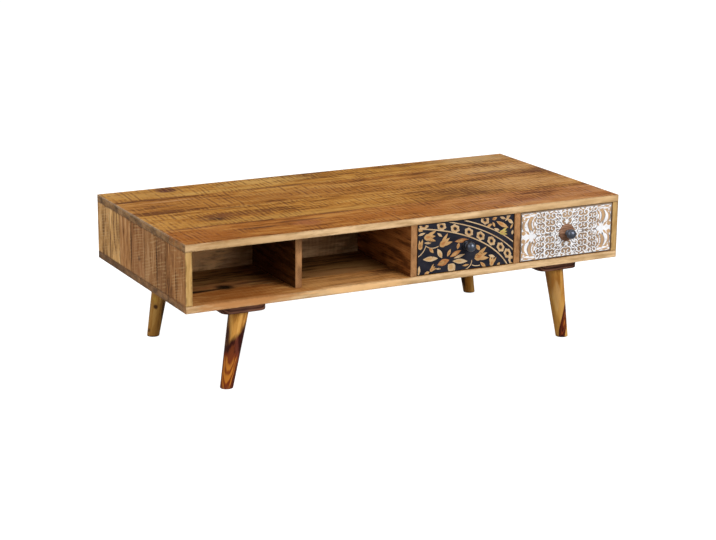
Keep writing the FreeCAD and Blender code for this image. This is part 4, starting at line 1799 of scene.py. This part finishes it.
@dataclass
class FiligreePrint(BlockPrint):
    """White scrolls mirrored about the knob, between four-lobed patches at both ends."""

    end_field: Span = (91.0, 132.0)
    end_rise: Span = (-1.0, 61.0)
    end_wave: Span = (4.5, 20.0)
    end_points: int = 40
    arcs: tuple[tuple[Ink, float, float, float, float], ...] = (
        (Ink.SAND, 88.0, 31.0, 19.0, 9.5), (Ink.SAND, 109.0, 27.0, 15.5, 6.0),
        (Ink.SAND, 99.0, 31.0, 13.0, 2.8), (Ink.SAND, 118.0, 28.0, 10.0, 3.0),
        (Ink.SAND, 80.0, 31.0, 16.0, 3.0), (Ink.SLATE, 91.5, 31.0, 20.5, 1.7),
        (Ink.SLATE, 84.5, 31.0, 17.5, 1.5), (Ink.SLATE, 111.5, 27.0, 16.5, 1.5),
        (Ink.SLATE, 120.0, 28.0, 10.5, 1.3),
    )
    arc_span: Span = (-68.0, 68.0)
    arc_blunt: float = 0.15
    arc_points: int = 20
    swooshes: tuple[tuple[complex, complex, complex], ...] = (
        (90 + 50j, 108 + 41j, 127 + 51j), (94 + 57j, 110 + 50j, 130 + 58j))
    swoosh_width: float = 1.7
    lobes: int = 4
    patches: tuple[Span, ...] = ((100.0, 14.0), (34.0, 11.0))
    patch_notch: float = 0.42
    swaths: tuple[Sprig, ...] = (
        Sprig(21, 21, 18, 9, 45, Ink.WHITE), Sprig(0, 27, 14, 9, 90, Ink.WHITE),
        Sprig(82, 9, 14, 6, -45, Ink.WHITE), Sprig(52, 3.6, 13, 4.5, 28, Ink.WHITE),
        Sprig(64, 3.6, 13, 4.5, -28, Ink.WHITE), Sprig(76, 3.2, 12, 4.5, 28, Ink.WHITE),
        Sprig(112, 10, 15, 5.5, 45, Ink.SAND), Sprig(90, 11, 15, 6, -45, Ink.SAND),
        Sprig(124, 10, 14, 11, 10, Ink.SAND), Sprig(127, 44, 17, 6, 78, Ink.SAND),
        Sprig(117, 44, 16, 5, -20, Ink.SAND), Sprig(101, 46, 14, 5, 30, Ink.SAND),
        Sprig(92, 57, 15, 5, 12, Ink.SAND), Sprig(116, 54, 18, 5, -12, Ink.SAND),
        Sprig(106, 14, 10, 3, 60, Ink.SLATE), Sprig(97, 16, 10, 3, 110, Ink.SLATE),
    )
    cross: Span = (48.0, 5.5)
    cross_turn: float = 45.0
    cross_notch: float = 0.7
    columns: tuple[tuple[float, float, float, int], ...] = (
        (0.0, 29.5, 10.8, 1), (47.0, 13.5, 10.4, 1), (75.0, 8.5, 9.0, -1))
    column_top: float = 58.0
    row_share: float = 1.56
    pair_share: float = 0.69
    tail_lean: float = 50.0
    stroke: float = 2.9
    coats: tuple[tuple[Ink, complex], ...] = ((Ink.SLATE, 1.2 - 1.4j), (Ink.WHITE, 0j))
    knob_room: float = 23.0
    winding: Triple = (24.5, 8.0, 9.6)
    winding_radius: float = 7.6
    winding_sway: float = 2.5
    winding_lean: float = 60.0
    winding_leaf: Triple = (12.0, 4.6, 52.0)
    winding_leaf_off: Span = (9.0, -3.0)
    border_leaf: tuple[float, float, float, float] = (56.0, 12.5, 4.2, 24.0)
    border_places: Floats = (6.0, 19.0, 32.0, 45.0, 58.0, 71.0, 84.0)
    shadow_gap_inset: float = 1.5
    shadow_gap_width: float = 1.6

    @property
    def middle(self) -> complex:
        """The middle of the face."""
        return complex(self.width, self.height) / 2.0

    def shapes(self) -> Shapes:
        """Mirrors one quarter of the print about both middle lines (see BlockPrint.shapes)."""
        for ink, shape in self.quarter():
            for flip, tip in product((1, -1), repeat=2):
                yield ink, self.middle + flip * shape.real + 1j * tip * shape.imag

    def quarter(self) -> Shapes:
        """The shapes of one quarter, from the print's middle.

        Returns:
            Each shape's ink and outline.
        """
        yield from self.end_shapes()
        for across, size in self.patches:
            yield Ink.WHITE, lobed(complex(across), size, self.lobes, 0.0, self.patch_notch)
        for swath in self.swaths:
            yield swath.ink, swath.outline()
        across, size = self.cross
        yield Ink.SLATE, lobed(complex(across), size, self.lobes, self.cross_turn, self.cross_notch)
        for across, first, radius, way_up in self.columns:
            for rise in np.arange(first, self.column_top, self.row_share * radius):
                yield from self.scroll_pair(complex(across, rise), radius, way_up)
        yield from self.winding_column()
        rise, length, width, turn = self.border_leaf
        for number, across in enumerate(self.border_places):
            yield Ink.WHITE, leaf(complex(across, rise), length, width, turn * (-1) ** number)
        # Painted shadow: a slate line just inside the face's edges, which widens the dark gap round the
        # drawer.
        corner = self.middle - self.shadow_gap_inset * (1 + 1j)
        for start in (corner.real, 1j * corner.imag):
            yield Ink.SLATE, ribbon(np.array([start, corner]), self.shadow_gap_width)

    def end_shapes(self) -> Shapes:
        """The white field with a wavy border at the print's end, and the arcs and strokes on it.

        Returns:
            Each shape's ink and outline.
        """
        start, end = self.end_field
        foot, top = self.end_rise
        height, length = self.end_wave
        rise = np.linspace(foot, top, self.end_points)
        border = start + height * np.cos(TURN * rise / length) + 1j * rise
        yield Ink.WHITE, np.append(border, (complex(end, top), complex(end, foot)))
        angle = np.radians(np.linspace(*self.arc_span, self.arc_points))
        taper = np.sin(np.linspace(self.arc_blunt, math.pi - self.arc_blunt, self.arc_points))
        for ink, across, up, radius, width in self.arcs:
            yield ink, ribbon(complex(across, up) + radius * np.exp(1j * angle), width * taper)
        for line in self.swooshes:
            yield Ink.SAND, ribbon(bent(line), self.swoosh_width)

    def winding_column(self) -> Shapes:
        """Single scrolls that turn to both sides by turns, each with its shade and a leaf across from it.

        Returns:
            Each shape's ink and outline.
        """
        across, first, pitch = self.winding
        length, width, lean = self.winding_leaf
        beside, above = self.winding_leaf_off
        for number, rise in enumerate(np.arange(first, self.column_top, pitch)):
            hand = 1 - 2 * (number % 2)
            middle = complex(across + self.winding_sway * hand, rise)
            if abs(middle) > self.knob_room:
                tail = -90.0 - self.winding_lean * hand
                for ink, off in self.coats:
                    yield ink, curl(middle + off, self.winding_radius, self.stroke, tail, hand)
                    yield ink, leaf(middle + off - complex(beside * hand, above), length, width, hand * lean)

    def scroll_pair(self, place: complex, radius: float, way_up: int) -> Shapes:
        """Two mirrored scrolls that meet in a heart, with their shade.

        Args:
            place: The pair's middle.
            radius: How far each scroll's tail starts from its middle.
            way_up: 1, or -1 for a heart upside down.

        Returns:
            Each shape's ink and outline.
        """
        for hand in (1, -1):
            middle = place + hand * self.pair_share * radius
            if middle.real > 0.0 and abs(middle) > self.knob_room:
                turn = -way_up * (90.0 + hand * self.tail_lean)
                for ink, off in self.coats:
                    yield ink, curl(middle + off, radius, self.stroke, turn, hand * way_up)


@dataclass
class Drawer(Assembly):
    """One drawer: its box, printed face, rosette, knob and bolt."""

    side: Side
    place: Place
    seed: int = 101
    ink_height: float = 0.00016
    ink_root: float = 0.0001
    ink_step: float = 0.0000006
    margin: float = 0.7
    print_unit: float = 0.001

    @property
    def body(self) -> str:
        """The name of the drawer's body."""
        return f"{self.side.value}_{self.place.value}_drawer"

    def build(self) -> Pieces:
        """Dresses the drawer and prints its face (see Assembly.build)."""
        outer = self.place is Place.OUTER
        face = TAN_GROUND if outer else DARK_PAINT
        rosette = ROSETTE_WOOD if outer else DARK_IRON
        finishes = {
            "face": face, "left_side": DRAWER_SIDE_WOOD, "right_side": DRAWER_SIDE_WOOD, "back": DRAWER_WOOD,
            "bottom": DRAWER_PLY, "rosette": rosette, "knob": IRON, "bolt": STEEL,
        }
        for number, (piece, finish) in enumerate(finishes.items()):
            node = f"{self.body}_{piece}"
            yield dress_node(node, finish.material(node, self.seed + number))
        yield self.printed()

    def printed(self) -> Piece:
        """Prints the face with thin raised shapes.

        Returns:
            The print.
        """
        low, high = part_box(f"{self.body}_face")
        width, height = ((end - start) / self.print_unit for start, end in ((low.x, high.x), (low.z, high.z)))
        block = FiligreePrint(width, height) if self.place is Place.OUTER else GardenPrint(width, height)
        points, faces, inks = [], [], []
        for number, (ink, shape) in enumerate(block.shapes()):
            outline = within(shape, width, height, self.margin)
            if len(outline) < LEAST_CORNERS:
                continue
            if (np.conj(outline) * np.roll(outline, -1)).imag.sum() < 0.0:
                outline = outline[::-1]
            count, first = len(outline), len(points)
            for level in (-self.ink_root, self.ink_height + number * self.ink_step):
                points += [self.on_face(point * self.print_unit, level, low, high) for point in outline]
            front = list(range(first + count, first + 2 * count))
            back = list(range(first + count - 1, first - 1, -1))
            ring = [(first + n, first + (n + 1) % count) for n in range(count)]
            faces += [front, back, *([start, end, end + count, start + count] for start, end in ring)]
            inks += [ink] * (count + 2)
        piece = mesh_piece(f"{self.body}_print", np.array(points), faces)
        used = sorted(set(inks), key=lambda ink: ink.value)
        for ink in used:
            piece.data.materials.append(INKS[ink].material(f"{self.body}_{ink.name.lower()}", self.seed))
        piece.data.polygons.foreach_set("material_index", [used.index(ink) for ink in inks])
        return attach(piece, self.body)

    def on_face(self, place: complex, level: float, low: Vector, high: Vector) -> Triple:
        """A point of the print in the table's frame.

        Args:
            place: Its place on the face, from the lower left corner.
            level: How far it stands off the face.
            low: The face's lowest corner.
            high: The face's highest corner.

        Returns:
            The point.
        """
        if self.side is Side.FRONT:
            return low.x + place.real, low.y - level, low.z + place.imag
        return high.x - place.real, high.y + level, low.z + place.imag


@dataclass
class Fittings(Assembly):
    """The hidden dowels, stops, screws, inserts and bolts."""

    finishes: Mapping[str, Finish] = field(default_factory=lambda: {
        "case_dowels": BEECH, "drawer_stops": BEECH, "leg_plate_screws": STEEL, "leg_inserts": STEEL,
        "leg_hanger_bolts": STEEL,
    })
    seed: int = 131

    def build(self) -> Pieces:
        """Dresses each group of fittings (see Assembly.build)."""
        for number, (node, finish) in enumerate(self.finishes.items()):
            yield dress_node(node, finish.material(node, self.seed + number))


@dataclass
class Studio(Assembly):
    """The pale floor, the soft lights and the camera."""

    azimuth: float = math.radians(-27.878)
    elevation: float = math.radians(15.188)
    roll: float = math.radians(0.545)
    camera_place: Triple = (-2.1118, -3.9890, 1.3941)
    focal_pixels: float = 1894.9
    frame_pixels: float = 716.0
    sensor: float = 36.0
    sight: float = 60.0
    floor_radius: float = 9.0
    floor_corners: int = 96
    floor_drop: float = 0.0004
    floor_colour: Colour = (0.3, 0.3, 0.3)
    floor_rough: float = 0.9
    floor_glow: float = 0.95
    floor_bounce: float = 0.2
    lamps: Mapping[str, tuple[Triple, float, float]] = field(default_factory=lambda: {
        "key": ((1.1, -2.85, 2.35), 2.0, 116.0), "fill": ((-3.2, -0.6, 1.7), 2.4, 52.0),
        "top": ((0.2, 0.6, 3.2), 3.0, 25.0), "sheen": ((2.6, 2.6, 1.1), 1.4, 7.0),
        "low": ((0.5, -3.6, 0.6), 1.6, 9.0), "rear": ((-0.5, 3.3, 0.75), 1.6, 30.0),
    })
    aim: Triple = (0.0, 0.0, 0.25)
    sky_light: float = 0.32

    def build(self) -> Pieces:
        """Sets the floor, the lamps, the sky and the camera up (see Assembly.build)."""
        yield self.floor()
        for name, (place, size, power) in self.lamps.items():
            yield self.lamp(name, Vector(place), size, power)
        self.sky()
        yield self.camera()

    def floor(self) -> Piece:
        """A wide pale disc.

        Returns:
            The floor.
        """
        angle = np.linspace(0.0, TURN, self.floor_corners, endpoint=False)
        rim = self.floor_radius * np.stack([np.cos(angle), np.sin(angle)], 1)
        points = np.column_stack([rim, np.full(len(angle), -self.floor_drop)])
        piece = mesh_piece("studio_floor", points, [list(range(len(angle)))])
        material = bpy.data.materials.new("pale_floor")
        material.use_nodes = True
        wiring = Wiring(material.node_tree)
        seen = wiring.add("ShaderNodeLightPath").outputs["Is Camera Ray"]
        wiring.fill(material.node_tree.nodes["Principled BSDF"], {
            "Base Color": self.floor_colour, "Roughness": self.floor_rough, "Specular IOR Level": 0.0,
            "Emission Color": WHITE_LIGHT,
            "Emission Strength": wiring.ease(seen, 0.0, 1.0, self.floor_bounce, self.floor_glow),
        })
        piece.data.materials.append(material)
        return piece

    def lamp(self, name: str, place: Vector, size: float, power: float) -> Piece:
        """A soft square lamp that points at the table.

        Args:
            name: The lamp's name.
            place: Where it hangs.
            size: Its width.
            power: Its power in watts.

        Returns:
            The lamp.
        """
        light = bpy.data.lights.new(f"{name}_lamp", "AREA")
        light.size = size
        light.energy = power
        lamp = new_object(f"{name}_lamp", light)
        lamp.location = place
        lamp.rotation_euler = (Vector(self.aim) - place).to_track_quat("-Z", "Y").to_euler()
        return lamp

    def sky(self) -> None:
        """A white room that lights the table softly."""
        world = bpy.data.worlds.new("white_room")
        world.use_nodes = True
        wiring = Wiring(world.node_tree)
        seen = wiring.add("ShaderNodeLightPath").outputs["Is Camera Ray"]
        strength = wiring.number("MAXIMUM", seen, self.sky_light)
        wiring.fill(world.node_tree.nodes["Background"], {"Color": WHITE_LIGHT, "Strength": strength})
        scene = bpy.context.scene
        scene.world = world
        scene.view_settings.view_transform = "Standard"

    def camera(self) -> Piece:
        """The camera at the photograph's place.

        Returns:
            The camera.
        """
        back = Vector((math.sin(self.azimuth) * math.cos(self.elevation),
                       -math.cos(self.azimuth) * math.cos(self.elevation), math.sin(self.elevation)))
        right = Vector((math.cos(self.azimuth), math.sin(self.azimuth), 0.0))
        up = back.cross(right)
        rolled_right = math.cos(self.roll) * right + math.sin(self.roll) * up
        rolled_up = math.cos(self.roll) * up - math.sin(self.roll) * right
        turn = Matrix((rolled_right, rolled_up, back)).transposed()
        lens = bpy.data.cameras.new("photo_camera")
        lens.sensor_fit = "HORIZONTAL"
        lens.sensor_width = self.sensor
        lens.lens = self.focal_pixels * self.sensor / self.frame_pixels
        lens.clip_end = self.sight
        camera = new_object("photo_camera", lens)
        camera.matrix_world = Matrix.Translation(self.camera_place) @ turn.to_4x4()
        bpy.context.scene.camera = camera
        return camera


def sub_assemblies() -> Iterator[Assembly]:
    """The table's sub-assemblies, from the top down.

    Returns:
        Each one in turn.
    """
    yield TopPanel()
    yield BottomPanel()
    yield EndPanel(("left_end_boards",), cut_shades=(1.02,))
    yield EndPanel(("right_end_boards",), shades=(1.0, 0.75, 0.95, 0.85, 1.1, 1.4, 1.2), cut_shades=(0.8,),
                   seed=EndPanel.seed + SEED_STEP)
    yield Partition()
    names = ("left", "centre", "right")
    for side, order, seed in ((Side.FRONT, names, 75), (Side.REAR, names[::-1], 80)):
        yield Dividers(tuple(f"{side.value}_{name}_divider" for name in order), seed=seed)
    yield LegSet()
    for number, (side, place) in enumerate(product(Side, Place)):
        yield Drawer(side, place, Drawer.seed + SEED_STEP * number)
    yield Fittings()
    yield Studio()


def main() -> None:
    """Builds the sub-assemblies in order and reports each piece."""
    logging.basicConfig(level=logging.INFO, format="%(message)s")
    for assembly in sub_assemblies():
        for piece in assembly.build():
            log.info("%s: %s", type(assembly).__name__, piece.name)


if __name__ == "__main__":
    main()
